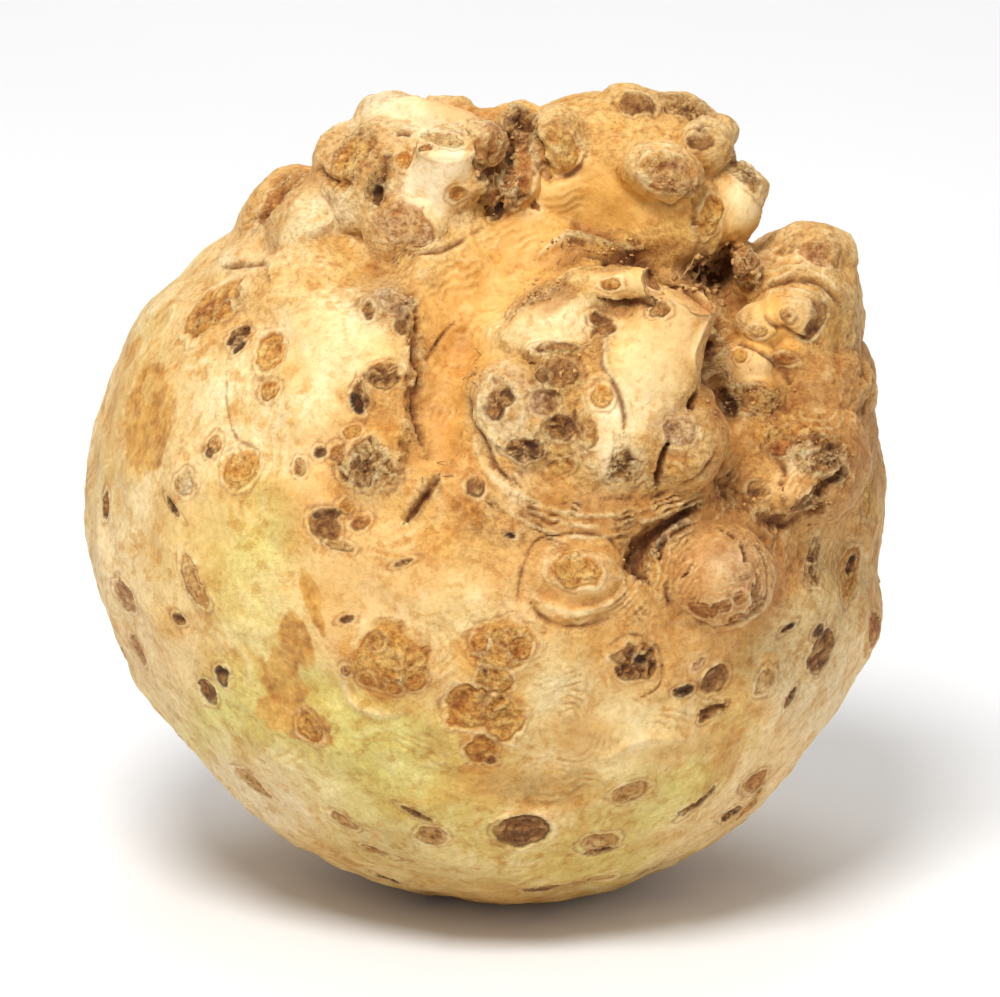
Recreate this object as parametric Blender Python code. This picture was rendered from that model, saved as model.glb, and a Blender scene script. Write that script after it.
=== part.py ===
"""A celeriac root, lying on its globe with the root end up and towards the viewer.

The root is modelled as one sculpts it: a globe with lobes, knobs and cut root stubs is blocked out from
simple solids, fused by a voxel remesh, and then worked over with hollows, grooves, knobs and scars.

The work is done in the viewer's frame, in millimetres: x to the right, y up, z towards the viewer, with
the middle of the globe at zero. Places on the side that faces the viewer are given as (across, down) in
pixels of a 1000 x 997 picture of that side; one pixel covers PIXEL millimetres. Sizes are millimetres.
"""

import math

import bmesh
import bpy
import numpy as np
from mathutils import Matrix, Vector

NAME = "celeriac_root"
METRES = 0.001          # metres in a millimetre
PIXEL = 0.15            # millimetres in a pixel of the picture
PICTURE_MIDDLE = (490, 505)
LOOK_DOWN = math.radians(18)    # how far the viewer looks down on the root

# The globe: its outline's radius by clock angle (degrees, 0 to the right, 90 up), and its depths.
GLOBE_OUTLINE = (
    (0, 59.7), (12, 59.2), (25, 56.0), (43, 52.5), (60, 53.0), (90, 54.5), (112, 54.5), (128, 55.6),
    (141, 57.5), (150, 60.3), (165, 60.4), (180, 60.0), (195, 60.2), (206, 59.5), (219, 58.2),
    (232, 58.3), (245, 59.0), (260, 59.6), (275, 60.6), (295, 61.3), (307, 61.2), (320, 59.9),
    (333, 60.0), (342, 61.0), (351, 58.6),
)
FRONT_DEPTH = 54.0
BACK_DEPTH = 51.0

# Lobes and knobs: name, place, distance in front of the globe's middle, half sizes across, up and in
# depth, and turn in degrees anticlockwise.
LOBES = (
    ("foot of the upper left lobe", (372, 225), 12, (19.0, 11.0, 19.0), 20),
    ("foot of the upper right lobe", (608, 202), 6, (20.0, 13.0, 22.0), -6),
    ("foot of the right lobe", (790, 345), 2, (10.0, 17.0, 21.0), 0),
    ("foot of the lower right lobe", (796, 440), 16, (12.5, 15.0, 17.0), 0),
    ("foot of the central lobe", (606, 402), 34, (20.0, 19.0, 17.0), 0),
    ("upper left lobe", (402, 186), 24, (13.0, 11.0, 13.0), 10),
    ("fill under the rough flank", (330, 222), 22, (10.0, 7.0, 9.0), 30),
    ("rough flank", (355, 166), 23, (6.4, 6.4, 7.0), 40),
    ("root of the arched stub", (388, 124), 23, (5.6, 3.8, 5.6), 20),
    ("apron of the upright stub", (446, 222), 28, (7.6, 5.0, 7.4), 18),
    ("round scar knob", (406, 228), 34.5, (6.2, 5.0, 4.6), 0),
    ("skirt of the round scar knob", (418, 240), 31, (7.4, 4.0, 6.4), 12),
    ("small lobe behind", (279, 202), 8, (8.6, 4.4, 8.0), 42),
    ("upper right lobe", (618, 174), 18, (18.6, 12.0, 15.0), -4),
    ("upper right lobe's lower front", (632, 216), 25, (17.0, 8.5, 10.0), -8),
    ("body of the cut stub", (727, 214), 24, (4.6, 5.6, 6.5), -14),
    ("knob with scales", (557, 144), 29.5, (4.9, 5.8, 5.2), 8),
    ("ochre tangle", (512, 146), 26, (3.4, 6.6, 4.0), -8),
    ("dark scar's knob", (633, 113), 23, (5.4, 4.2, 5.5), 0),
    ("flaky knob", (686, 123), 20, (6.2, 3.8, 5.0), -30),
    ("round middle knob", (659, 176), 34.5, (6.4, 4.5, 5.0), -10),
    ("round right knob", (703, 146), 29, (3.9, 3.8, 4.2), -30),
    ("small top nub", (721, 133), 24, (2.0, 2.4, 3.0), 0),
    ("web behind the tangle", (506, 152), 17, (7.5, 5.6, 5.4), 0),
    ("clods in the notch", (505, 197), 30, (4.2, 3.4, 4.6), -20),
    ("central lobe", (596, 410), 41, (19.0, 17.5, 15.0), 0),
    ("round lobe on the left", (521, 421), 50, (8.2, 9.2, 6.5), 0),
    ("pale plateau", (556, 334), 45, (9.4, 6.4, 7.4), 16),
    ("bed of the finger stub", (624, 312), 43, (6.4, 4.4, 5.6), 0),
    ("band scar's bump", (556, 352), 52, (5.0, 2.0, 3.4), 0),
    ("cluster bump", (560, 374), 54, (3.2, 2.8, 2.4), 0),
    ("cream ridge", (598, 418), 53, (2.6, 7.0, 3.4), 8),
    ("lower right nub", (686, 442), 47, (6.0, 7.4, 6.4), -22),
    ("crumbly rim", (540, 296), 43, (7.0, 2.2, 4.0), 24),
    ("right lobe", (794, 324), 18, (9.8, 13.6, 14.6), 0),
    ("right lobe's foot", (804, 394), 22, (10.2, 8.4, 12.0), 0),
    ("top knob of the right lobe", (807, 257), 20, (6.2, 4.6, 7.0), 0),
    ("crumbly knob", (743, 268), 28, (2.3, 3.2, 4.2), 0),
    ("neck of the crumbly knob", (757, 283), 22, (5.0, 4.6, 8.0), 0),
    ("saddle behind the notch", (742, 272), 8, (7.0, 3.4, 10.0), 0),
    ("floor of the cleft", (718, 262), 14, (6.0, 4.6, 9.0), 0),
    ("upper eye bump", (791, 315), 30, (4.6, 3.6, 3.8), -28),
    ("left eye bump", (758, 327), 32, (3.2, 3.2, 3.2), -30),
    ("long eye bump", (750, 362), 32, (4.4, 3.0, 3.4), -28),
    ("bump with the orange scar", (788, 362), 30, (4.4, 3.4, 3.4), -24),
    ("rough tan bump", (756, 398), 33, (4.4, 3.4, 3.6), 0),
    ("lower right lobe", (799, 461), 28, (11.2, 10.8, 11.2), 0),
    ("cream bump", (786, 488), 35.5, (5.6, 4.6, 4.4), 0),
    ("right flank", (853, 400), 8, (3.6, 10.0, 8.0), 0),
    ("round knob", (714, 575), 42, (8.2, 8.4, 5.8), 0),
    ("lip scar's swell", (572, 566), 49, (8.2, 5.2, 4.8), -6),
)

# Stretches of root that bend or run under others: name, then for each end the place, distance in front
# of the globe's middle and radius.
ROOTS = (
    ("arched stub, first stretch", (378, 120), 22, 3.4, (420, 118), 28, 3.2),
    ("arched stub, second stretch", (420, 118), 28, 3.2, (466, 138), 33, 3.0),
    ("thin brown flap", (428, 102), 16, 1.5, (462, 112), 19, 1.9),
    ("root behind the tangle", (466, 128), 20, 2.4, (524, 116), 22, 2.4),
    ("root beside the tangle", (520, 134), 27, 2.0, (530, 190), 32, 1.6),
)

# Cut root stubs, in the same form. The second end is cut flat.
STUBS = (
    ("arched stub, cut end", (466, 138), 33, 3.0, (490, 155), 37, 2.6),
    ("upright stub", (435, 212), 30, 5.8, (445, 147), 39, 3.6),
    ("cut stub of the upper right lobe", (720, 214), 24.5, 5.6, (741, 173), 24, 3.8),
    ("finger stub", (584, 292), 43, 3.4, (649, 282), 49, 2.7),
    ("large pale stub", (646, 376), 47, 8.8, (686, 299), 52, 4.6),
)

CUT_ALLOWANCE = 1.2     # how much longer a stub is blocked out than it is cut
BLOCK_VOXEL = 0.6       # grid of the remesh that fuses the blocked-out solids
SOFTENING = 5           # passes that round the creases between them
FAR_SOFTENING = 45      # further passes for the side that the picture doesn't show
FAR_FROM, FAR_TO = 24.0, 4.0    # they begin at the first depth and are full at the second

# Wide hollows and swells: place, radius, and how far the skin goes out (in, if negative).
SWELLS = (
    ((640, 226), 9.0, -2.6), ((580, 226), 10.0, -4.5), ((520, 254), 10.5, -6.0),
    ((478, 296), 10.0, -5.5), ((450, 345), 8.5, -5.5), ((437, 398), 7.0, -4.4), ((432, 446), 6.0, -3.0),
    ((716, 264), 6.0, -5.0), ((716, 345), 4.5, -4.0), ((729, 405), 4.5, -5.0), ((700, 278), 5.0, -3.0),
    ((735, 480), 6.5, -2.6), ((640, 545), 6.0, -2.0), ((345, 240), 7.0, -1.2), ((375, 270), 7.0, -2.0),
    ((310, 250), 9.0, 2.2), ((260, 285), 9.0, 1.8), ((300, 300), 9.0, 1.4), ((235, 250), 8.0, 1.2),
    ((143, 415), 9.0, -0.7), ((285, 690), 8.0, -1.0), ((560, 765), 9.0, -1.4), ((520, 790), 8.0, -1.2),
    ((230, 500), 9.0, 0.8), ((225, 600), 10.0, 1.0), ((330, 620), 10.0, 0.9), ((440, 590), 8.0, 1.0),
    ((400, 560), 8.0, 0.8), ((500, 655), 8.0, 1.2), ((388, 658), 8.0, 1.1), ((620, 760), 10.0, 1.0),
    ((440, 840), 8.0, 0.8), ((660, 590), 7.0, 0.9), ((760, 690), 9.0, 1.0), ((330, 740), 9.0, 0.7),
    ((300, 400), 9.0, 1.2), ((330, 340), 9.0, 1.8), ((218, 305), 7.0, 1.2), ((388, 310), 6.0, 2.2),
    ((368, 468), 7.0, 1.8), ((378, 388), 6.0, 1.6), ((590, 640), 8.0, -0.8), ((440, 700), 5.0, -0.9),
    ((345, 690), 4.0, -0.6), ((300, 560), 7.0, -0.6), ((480, 560), 7.0, -0.8), ((180, 470), 6.0, 0.6),
    ((820, 600), 8.0, 1.0), ((560, 650), 7.0, 0.7), ((680, 740), 8.0, 0.8), ((850, 540), 6.0, -0.8),
)

# Grooves and clefts: width, depth, and the points they pass.
GROOVES = (
    (1.5, 2.2, ((455, 318), (435, 350), (420, 372), (418, 400), (415, 430), (421, 456), (424, 476))),
    (1.5, 2.8, ((442, 478), (424, 500), (402, 526))),
    (1.5, 2.4, ((515, 100), (527, 138), (548, 182))),
    (1.6, 2.0, ((487, 186), (491, 200), (498, 218))),
    (1.4, 2.4, ((503, 132), (507, 160))),
    (1.5, 2.6, ((701, 288), (712, 318), (704, 350), (704, 376), (724, 400), (730, 414))),
    (1.5, 2.6, ((738, 254), (720, 259), (704, 266))),
    (1.2, 2.0, ((560, 268), (600, 256), (650, 270))),
    (1.3, 2.6, ((600, 304), (626, 310), (654, 300))),
    (1.5, 2.4, ((702, 508), (664, 528), (641, 548), (636, 570), (648, 584))),
    (1.0, 1.4, ((690, 524), (662, 540), (652, 560))),
    (0.9, 2.2, ((667, 443), (660, 468), (656, 491))),
    (1.0, 2.2, ((697, 391), (687, 411))),
    (1.2, 1.8, ((474, 372), (469, 413), (478, 441), (497, 470), (520, 489), (560, 500))),
    (1.2, 1.2, ((560, 504), (610, 512), (660, 500), (698, 476), (717, 452))),
    (1.2, 1.1, ((500, 492), (560, 524), (620, 530), (680, 510), (730, 470))),
    (1.0, 1.0, ((599, 344), (600, 366), (612, 380), (622, 413), (624, 434))),
    (1.2, 1.5, ((754, 307), (769, 322), (786, 335), (814, 349))),
    (1.2, 1.5, ((733, 344), (761, 352), (780, 369), (784, 384))),
    (1.4, 1.4, ((744, 508), (782, 526), (810, 515), (823, 491), (840, 478))),
    (1.1, 1.3, ((744, 301), (776, 281), (797, 277), (829, 288), (840, 305))),
    (1.6, 2.2, ((386, 156), (379, 182), (372, 206))),
    (1.1, 1.3, ((404, 258), (444, 250), (487, 227))),
    (1.2, 1.4, ((316, 172), (330, 184), (352, 186))),
    (1.2, 1.4, ((250, 220), (272, 210), (299, 194))),
    (1.0, 1.0, ((222, 266), (258, 262), (272, 282))),
    (1.2, 1.6, ((456, 124), (470, 166), (486, 176), (502, 174))),
    (1.2, 1.4, ((696, 182), (690, 204), (694, 232))),
    (1.0, 1.2, ((692, 132), (700, 124), (716, 126))),
    (1.0, 1.0, ((698, 717), (728, 706))),
    (1.3, 1.1, ((676, 815), (713, 790))),
    (1.0, 1.2, ((526, 600), (545, 620), (575, 628), (610, 618))),
    (1.1, 1.2, ((856, 335), (862, 372), (864, 420))),
    (0.9, 0.6, ((228, 392), (228, 412), (240, 442))),
)

# Folds of skin, raised a little: width, height, and the points they pass.
FOLDS = (
    (1.0, 0.7, ((309, 240), (322, 226), (344, 221))),
    (1.0, 0.6, ((332, 226), (352, 242), (372, 262))),
    (1.2, 0.8, ((466, 400), (474, 450), (500, 484), (550, 508), (600, 516), (654, 508))),
    (1.2, 0.7, ((480, 478), (530, 516), (590, 534), (650, 530), (702, 498), (732, 462))),
    (1.0, 0.6, ((744, 296), (776, 275), (798, 270), (830, 281), (842, 300))),
    (0.9, 0.5, ((750, 302), (780, 284), (806, 282), (832, 294))),
    (1.1, 0.8, ((528, 588), (545, 604), (580, 612), (616, 596), (624, 576))),
    (1.0, 0.5, ((270, 228), (290, 212), (308, 190))),
    (1.0, 0.5, ((862, 340), (870, 380), (874, 430))),
    (1.2, 0.6, ((600, 760), (640, 740), (690, 740))),
    (1.2, 0.6, ((350, 640), (346, 690), (376, 712), (420, 706))),
    (1.2, 0.6, ((505, 852), (524, 858), (546, 852))),
)


# Scars: place, half sizes across and up, turn in degrees, depth of the middle, height of the rim.
SCARS = (
    ((218, 305), (4.8, 3.0), 28, 0.9, 0.4), ((272, 355), (2.9, 3.8), 0, 0.9, 0.5),
    ((271, 390), (2.3, 1.7), 0, 0.7, 0.3), ((237, 336), (2.1, 1.9), 0, 1.1, 0.3),
    ((242, 468), (3.2, 3.0), 0, 0.8, 0.4), ((389, 375), (2.3, 2.3), 0, 1.2, 0.5),
    ((360, 397), (2.0, 2.9), 30, 1.3, 0.4), ((368, 474), (4.4, 4.0), 0, 1.0, 0.7),
    ((326, 523), (3.2, 3.2), 0, 1.2, 0.6), ((350, 512), (1.9, 1.8), 0, 0.8, 0.4),
    ((194, 585), (2.3, 4.6), 32, 0.6, 0.4), ((224, 675), (1.7, 2.3), 0, 1.6, 0.4),
    ((209, 690), (1.7, 2.7), 0, 0.9, 0.4), ((102, 505), (3.0, 3.4), 0, 1.2, 0.3),
    ((123, 597), (3.4, 3.0), 0, 0.7, 0.4), ((250, 785), (3.6, 1.9), -33, 0.6, 0.4),
    ((308, 726), (3.4, 3.2), 0, 0.8, 0.5), ((388, 658), (6.8, 6.2), 0, 0.8, 0.6),
    ((515, 650), (5.4, 4.2), 0, 0.8, 0.5), ((490, 742), (4.6, 5.0), 0, 0.7, 0.3),
    ((524, 831), (4.4, 3.2), 0, 2.0, 0.7), ((616, 668), (2.3, 2.6), 0, 1.7, 0.5),
    ((645, 671), (2.0, 2.2), 0, 1.7, 0.5), ((716, 680), (2.8, 2.6), 0, 0.9, 0.5),
    ((757, 785), (3.4, 3.2), -45, 0.9, 0.4), ((731, 816), (3.6, 2.6), -45, 1.3, 0.4),
    ((601, 843), (3.9, 2.8), 0, 0.7, 0.5), ((592, 878), (3.6, 2.4), 0, 0.5, 0.4),
    ((430, 838), (3.3, 2.6), 0, 0.7, 0.4), ((546, 890), (4.4, 4.0), 0, 0.9, 0.3),
    ((389, 879), (2.6, 2.4), 0, 0.8, 0.2), ((849, 577), (4.4, 4.4), 0, 1.2, 0.6),
    ((821, 656), (4.0, 4.6), 0, 1.2, 0.5), ((874, 629), (6.0, 5.0), 0, 0.8, 0.3),
    ((811, 562), (3.4, 3.8), 0, 0.9, 0.4), ((573, 566), (5.0, 2.6), -6, 1.3, 0.9),
    ((475, 489), (1.8, 1.8), 0, 1.3, 0.5), ((495, 402), (3.0, 3.4), 10, 0.9, 0.3),
    ((545, 405), (2.2, 1.9), 0, 0.8, 0.3), ((561, 432), (2.2, 2.2), 0, 1.1, 0.3),
    ((518, 456), (4.2, 2.8), -12, 1.3, 0.4), ((562, 470), (2.6, 1.8), 30, 1.0, 0.3),
    ((599, 398), (1.9, 2.2), -16, 0.7, 0.4), ((625, 472), (3.2, 2.6), -20, 1.0, 0.4),
    ((604, 330), (2.1, 2.6), -16, 0.9, 0.4), ((552, 379), (2.2, 1.9), 0, 0.9, 0.4),
    ((675, 432), (3.0, 3.0), 0, 0.7, 0.2), ((632, 108), (3.4, 3.2), 0, 0.9, 0.4),
    ((680, 116), (3.0, 1.8), -25, 0.9, 0.3), ((561, 152), (2.6, 2.2), 0, 0.7, 0.2),
    ((650, 168), (2.6, 2.0), 0, 0.5, 0.2), ((700, 142), (2.2, 1.6), 0, 0.6, 0.2),
    ((712, 210), (2.4, 4.2), -16, 0.9, 0.2), ((404, 227), (4.4, 3.4), 8, 0.9, 0.3),
    ((790, 362), (2.6, 1.7), 0, 0.9, 0.3), ((822, 318), (2.2, 3.4), -20, 0.9, 0.3),
    ((825, 252), (3.8, 2.4), 0, 0.5, 0.2), ((760, 435), (2.2, 2.2), 0, 0.8, 0.2),
    ((803, 432), (2.6, 1.9), 0, 1.0, 0.3), ((832, 448), (3.0, 1.6), 0, 1.2, 0.2),
    ((760, 497), (2.4, 2.0), 0, 1.3, 0.2), ((830, 500), (4.0, 3.0), 60, 0.8, 0.2),
    ((404, 320), (1.5, 1.8), 0, 0.7, 0.3), ((565, 720), (5.0, 4.4), 0, 0.4, 0.4),
    ((440, 540), (3.0, 2.6), 0, 0.5, 0.2), ((640, 792), (3.4, 2.6), 0, 0.3, 0.3),
)

SCAR_DEPTH = 0.75       # share of the listed depth that a scar's floor sinks
SCAR_RIM = 0.7
SCAR_STEEPEST = 0.45    # a scar is no deeper than this share of its smaller half size

# The side that the picture doesn't show: how many scars it carries, and the leaf end.
HIDDEN_SCARS = 95
HIDDEN_SWELLS = 46
LEAF_END = Vector((-0.50, -0.22, -0.84))    # which way the leaf end looks
LEAF_RINGS = ((18.0, 1.0), (14.6, 1.1), (11.4, 1.2), (8.4, 1.3))     # radius and height of each
LEAF_RING_WIDTH = 1.25
HEART_RADIUS = 6.6
HEART_DEPTH = 1.0

# Bumps all over the skin: wavelength and height.
SKIN_WAVES = ((26.0, 0.9), (13.0, 0.55), (6.5, 0.22))
ROUGH_WAVES = ((4.6, 0.4),)
SEED = 11

FOOT_DEPTH = 1.1        # height of the cap that the flat foot takes off
MOST_TRIANGLES = 11600


def clear_scene():
    """Remove whatever the scene holds."""
    for thing in list(bpy.data.objects):
        bpy.data.objects.remove(thing)


def at(place, depth=0.0):
    """A place in the picture, as a point in the viewer's frame."""
    across, down = place
    return np.array(((across - PICTURE_MIDDLE[0]) * PIXEL, (PICTURE_MIDDLE[1] - down) * PIXEL, depth))


def outline_radius(angles):
    """The globe's radius in the picture, for clock angles in degrees."""
    corners = np.array(GLOBE_OUTLINE + ((360 + GLOBE_OUTLINE[0][0], GLOBE_OUTLINE[0][1]),))
    angles = np.mod(angles, 360)
    after = np.clip(np.searchsorted(corners[:, 0], angles, side="right"), 1, len(corners) - 1)
    start, end = corners[after - 1], corners[after]
    share = (angles - start[:, 0]) / (end[:, 0] - start[:, 0])
    share = share * share * (3 - 2 * share)
    return start[:, 1] * (1 - share) + end[:, 1] * share


def globe_radius(directions):
    """The globe's radius along unit directions."""
    across = np.hypot(directions[:, 0], directions[:, 1])
    rim = outline_radius(np.degrees(np.arctan2(directions[:, 1], directions[:, 0])))
    depth = np.where(directions[:, 2] > 0, FRONT_DEPTH, BACK_DEPTH)
    return 1 / np.sqrt((across / rim) ** 2 + (directions[:, 2] / depth) ** 2)


def add_globe(bm):
    """The globe, as an icosphere pushed out to its outline."""
    made = bmesh.ops.create_icosphere(bm, subdivisions=6, radius=1.0)["verts"]
    directions = np.array([vert.co.normalized() for vert in made])
    for vert, radius in zip(made, globe_radius(directions), strict=True):
        vert.co = vert.co.normalized() * float(radius)


def add_lobe(bm, place, depth, half_sizes, turn):
    """An ellipsoid lobe or knob."""
    move = Matrix.Translation(at(place, depth)) @ Matrix.Rotation(math.radians(turn), 4, "Z")
    stretch = Matrix.Diagonal((*half_sizes, 1.0))
    bmesh.ops.create_icosphere(bm, subdivisions=4, radius=1.0, matrix=move @ stretch)


def add_root(bm, start, start_depth, start_radius, end, end_depth, end_radius, allowance=0.0):
    """A tapered stretch of root with round ends, or a stub whose end reaches past where it is cut."""
    root = Vector(at(start, start_depth))
    along = Vector(at(end, end_depth)) - root
    along.length += allowance
    tip = root + along
    turn = along.to_track_quat("Z", "Y").to_matrix().to_4x4()
    bmesh.ops.create_cone(
        bm, cap_ends=True, segments=32, radius1=start_radius, radius2=end_radius,
        depth=along.length, matrix=Matrix.Translation((root + tip) / 2) @ turn,
    )
    bmesh.ops.create_icosphere(
        bm, subdivisions=3, radius=start_radius, matrix=Matrix.Translation(root)
    )
    if not allowance:
        bmesh.ops.create_icosphere(bm, subdivisions=3, radius=end_radius, matrix=Matrix.Translation(tip))


def block_out():
    """The globe, lobes and stubs, fused and softened: points in millimetres and a mesh."""
    bm = bmesh.new()
    add_globe(bm)
    for _, place, depth, half_sizes, turn in LOBES:
        add_lobe(bm, place, depth, half_sizes, turn)
    for _, *ends in ROOTS:
        add_root(bm, *ends)
    for _, *ends in STUBS:
        add_root(bm, *ends, allowance=CUT_ALLOWANCE)
    mesh = bpy.data.meshes.new(NAME)
    bm.to_mesh(mesh)
    bm.free()
    block = bpy.data.objects.new(NAME, mesh)
    bpy.context.collection.objects.link(block)
    fuse = block.modifiers.new("fuse", "REMESH")
    fuse.mode = "VOXEL"
    fuse.voxel_size = BLOCK_VOXEL
    soften = block.modifiers.new("soften", "SMOOTH")
    soften.factor = 0.5
    soften.iterations = SOFTENING
    bake_modifiers(block)
    return block


def bake_modifiers(thing):
    """Replace an object's mesh by what its modifiers make of it."""
    evaluated = thing.evaluated_get(bpy.context.evaluated_depsgraph_get())
    made = bpy.data.meshes.new_from_object(evaluated)
    old = thing.data
    thing.modifiers.clear()
    thing.data = made
    made.name = NAME
    bpy.data.meshes.remove(old)


def read_points(mesh):
    """A mesh's vertices as an array."""
    flat = np.empty(len(mesh.vertices) * 3, np.float32)
    mesh.vertices.foreach_get("co", flat)
    return flat.reshape(-1, 3).astype(float)


def read_normals(mesh):
    """A mesh's vertex normals as an array."""
    flat = np.empty(len(mesh.vertices) * 3, np.float32)
    mesh.vertex_normals.foreach_get("vector", flat)
    return flat.reshape(-1, 3).astype(float)


def write_points(mesh, points):
    """Move a mesh's vertices."""
    mesh.vertices.foreach_set("co", points.astype(np.float32).ravel())
    mesh.update()


def lattice_noise(points, wavelength, seed):
    """Smooth noise from -1 to 1, the same for the same seed."""
    scaled = points / wavelength
    cell = np.floor(scaled).astype(np.int64)
    share = scaled - cell
    share = share * share * (3 - 2 * share)
    total = np.zeros(len(points))
    for corner in range(8):
        step = np.array((corner & 1, corner >> 1 & 1, corner >> 2 & 1))
        key = (cell + step) @ np.array((73856093, 19349663, 83492791)) + seed * 2654435761
        key = (key ^ (key >> 13)) * 1274126177 & 0xFFFFFFFF
        key = (key ^ (key >> 16)) * 2246822519 & 0xFFFFFFFF
        weight = np.prod(np.where(step, share, 1 - share), axis=1)
        total += weight * (key / 0x7FFFFFFF - 1)
    return total


def facing_spot(points, place):
    """The index of the skin's point that the viewer sees at a place in the picture."""
    target = at(place)
    away = np.hypot(points[:, 0] - target[0], points[:, 1] - target[1])
    near = np.flatnonzero(away < 1.2)
    if not len(near):
        return int(np.argmin(away))
    front = near[points[near, 2] > points[near, 2].max() - 2.0]
    return int(front[np.argmin(away[front])])


def tangents(normal):
    """Two unit directions in the skin at a spot: the picture's right and up, laid onto it."""
    across = np.array((1.0, 0.0, 0.0)) - normal * normal[0]
    if across @ across < 0.02:
        across = np.array((0.0, 0.0, -1.0)) + normal * normal[2]
    across = across / np.linalg.norm(across)
    return across, np.cross(normal, across)


def spot_normal(points, normals, spot, reach=1.5):
    """The mean normal of the skin round a spot."""
    near = np.linalg.norm(points - points[spot], axis=1) < reach
    mean = normals[near].sum(0)
    return mean / np.linalg.norm(mean)


def mesh_edges(mesh):
    """A mesh's edges as pairs of vertices."""
    flat = np.empty(len(mesh.edges) * 2, np.int32)
    mesh.edges.foreach_get("vertices", flat)
    return flat.reshape(-1, 2)


def soften_far_side(points, edges):
    """Let the lobes flow into the globe where the picture doesn't show them."""
    weight = 0.5 * np.clip((FAR_FROM - points[:, 2]) / (FAR_FROM - FAR_TO), 0, 1)[:, None]
    one, other = edges.T
    ends, others = np.concatenate((one, other)), np.concatenate((other, one))
    count = np.bincount(ends, minlength=len(points))[:, None]
    for _ in range(FAR_SOFTENING):
        around = [np.bincount(ends, points[others, axis], len(points)) for axis in range(3)]
        points += weight * (np.stack(around, axis=1) / count - points)


def agreement(normals, normal):
    """How far the skin faces a spot's way, from 0 to 1, so that no work reaches what lies behind it."""
    return np.clip(1.6 * (normals @ normal) - 0.1, 0, 1)


def swell(points, normals, spot, radius, height):
    """Push a round area out, or in."""
    normal = spot_normal(points, normals, spot)
    away = np.linalg.norm(points - points[spot], axis=1) / radius
    near = away < 1
    lift = height * (1 - away[near] ** 2) ** 2 * agreement(normals[near], normal)
    points[near] += lift[:, None] * normal


def smooth_path(corners):
    """Points close together on a smooth curve through corners (Catmull-Rom)."""
    padded = np.vstack((2 * corners[0] - corners[1], corners, 2 * corners[-1] - corners[-2]))
    path = []
    for before, start, end, after in zip(padded, padded[1:], padded[2:], padded[3:]):
        steps = max(2, int(np.linalg.norm(end - start) / 0.8))
        for share in np.arange(steps)[:, None] / steps:
            bend = (2 * before - 5 * start + 4 * end - after) * share**2
            twist = (3 * start - 3 * end + after - before) * share**3
            path.append(start + 0.5 * ((end - before) * share + bend + twist))
    return np.array(path + [padded[-2]])


def crease(points, normals, spots, width, height):
    """Raise a fold along a line of spots, or press a groove if the height is negative."""
    path = smooth_path(points[spots])
    low, high = path.min(0) - 2 * width, path.max(0) + 2 * width
    near = np.flatnonzero(((points > low) & (points < high)).all(1))
    away = np.full(len(near), np.inf)
    reached = np.zeros(len(near), int)
    for number, place in enumerate(path):
        step = np.linalg.norm(points[near] - place, axis=1)
        closer = step < away
        away[closer] = step[closer]
        reached[closer] = number
    share = reached / (len(path) - 1)
    taper = np.clip(4 * share * (1 - share) + 0.25, 0, 1)
    wander = 1 + 0.35 * lattice_noise(points[near], 3.0, SEED + 3)
    lift = height * taper * np.exp(-((away / (width * taper * wander)) ** 2) * 1.6)
    lift *= agreement(normals[near], spot_normal(points, normals, spots[len(spots) // 2], 4.0)) > 0
    points[near] += normals[near] * lift[:, None]


def cut_end(points, tip, along, radius):
    """Flatten the cut end of a stub."""
    offset = points - tip
    ahead = offset @ along
    beside = np.linalg.norm(offset - ahead[:, None] * along, axis=1)
    past = (ahead > 0) & (ahead < 1.5 * CUT_ALLOWANCE) & (beside < 1.2 * radius)
    points[past] -= ahead[past, None] * along


def scar(points, normals, spot, half_sizes, turn, depth, rim):
    """A root scar: a sunken, uneven middle inside a low, broken rim."""
    normal = spot_normal(points, normals, spot)
    across, up = tangents(normal)
    angle = math.radians(turn)
    major = across * math.cos(angle) + up * math.sin(angle)
    minor = up * math.cos(angle) - across * math.sin(angle)
    offset = points - points[spot]
    reach = 1.5 * max(half_sizes)
    near = np.flatnonzero((np.linalg.norm(offset, axis=1) < reach) & (normals @ normal > 0.1))
    local = offset[near]
    away = np.hypot(local @ major / half_sizes[0], local @ minor / half_sizes[1])
    away += 0.22 * lattice_noise(points[near], max(half_sizes) * 0.9, SEED)
    depth = min(depth, SCAR_STEEPEST * min(half_sizes))
    sink = SCAR_DEPTH * depth * np.clip((1.0 - away) / 0.45, 0, 1) ** 0.8
    lump = 0.5 * abs(depth) * lattice_noise(points[near], 1.5, SEED + 1) * (away < 0.85)
    broken = 0.65 + 0.6 * lattice_noise(points[near], max(half_sizes), SEED + 2)
    raised = SCAR_RIM * rim * broken * np.exp(-(((away - 1.05) / 0.22) ** 2))
    points[near] += normals[near] * (raised + lump - sink)[:, None]


def hidden_directions(count, draw):
    """Directions spread evenly at random over the side that the picture doesn't show."""
    found = []
    while len(found) < count:
        way = draw.normal(size=3)
        way /= np.linalg.norm(way)
        near_leaves = way @ np.array(LEAF_END.normalized()) > 0.93
        crowded = any(way @ other > 0.985 for other in found)
        if way[2] < -0.05 and not near_leaves and not crowded:
            found.append(way)
    return found


def spot_along(points, way):
    """The index of the skin's point that lies furthest out in a direction."""
    lengths = np.linalg.norm(points, axis=1)
    return int(np.argmax(points @ way / lengths + lengths * 1e-5))


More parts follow.
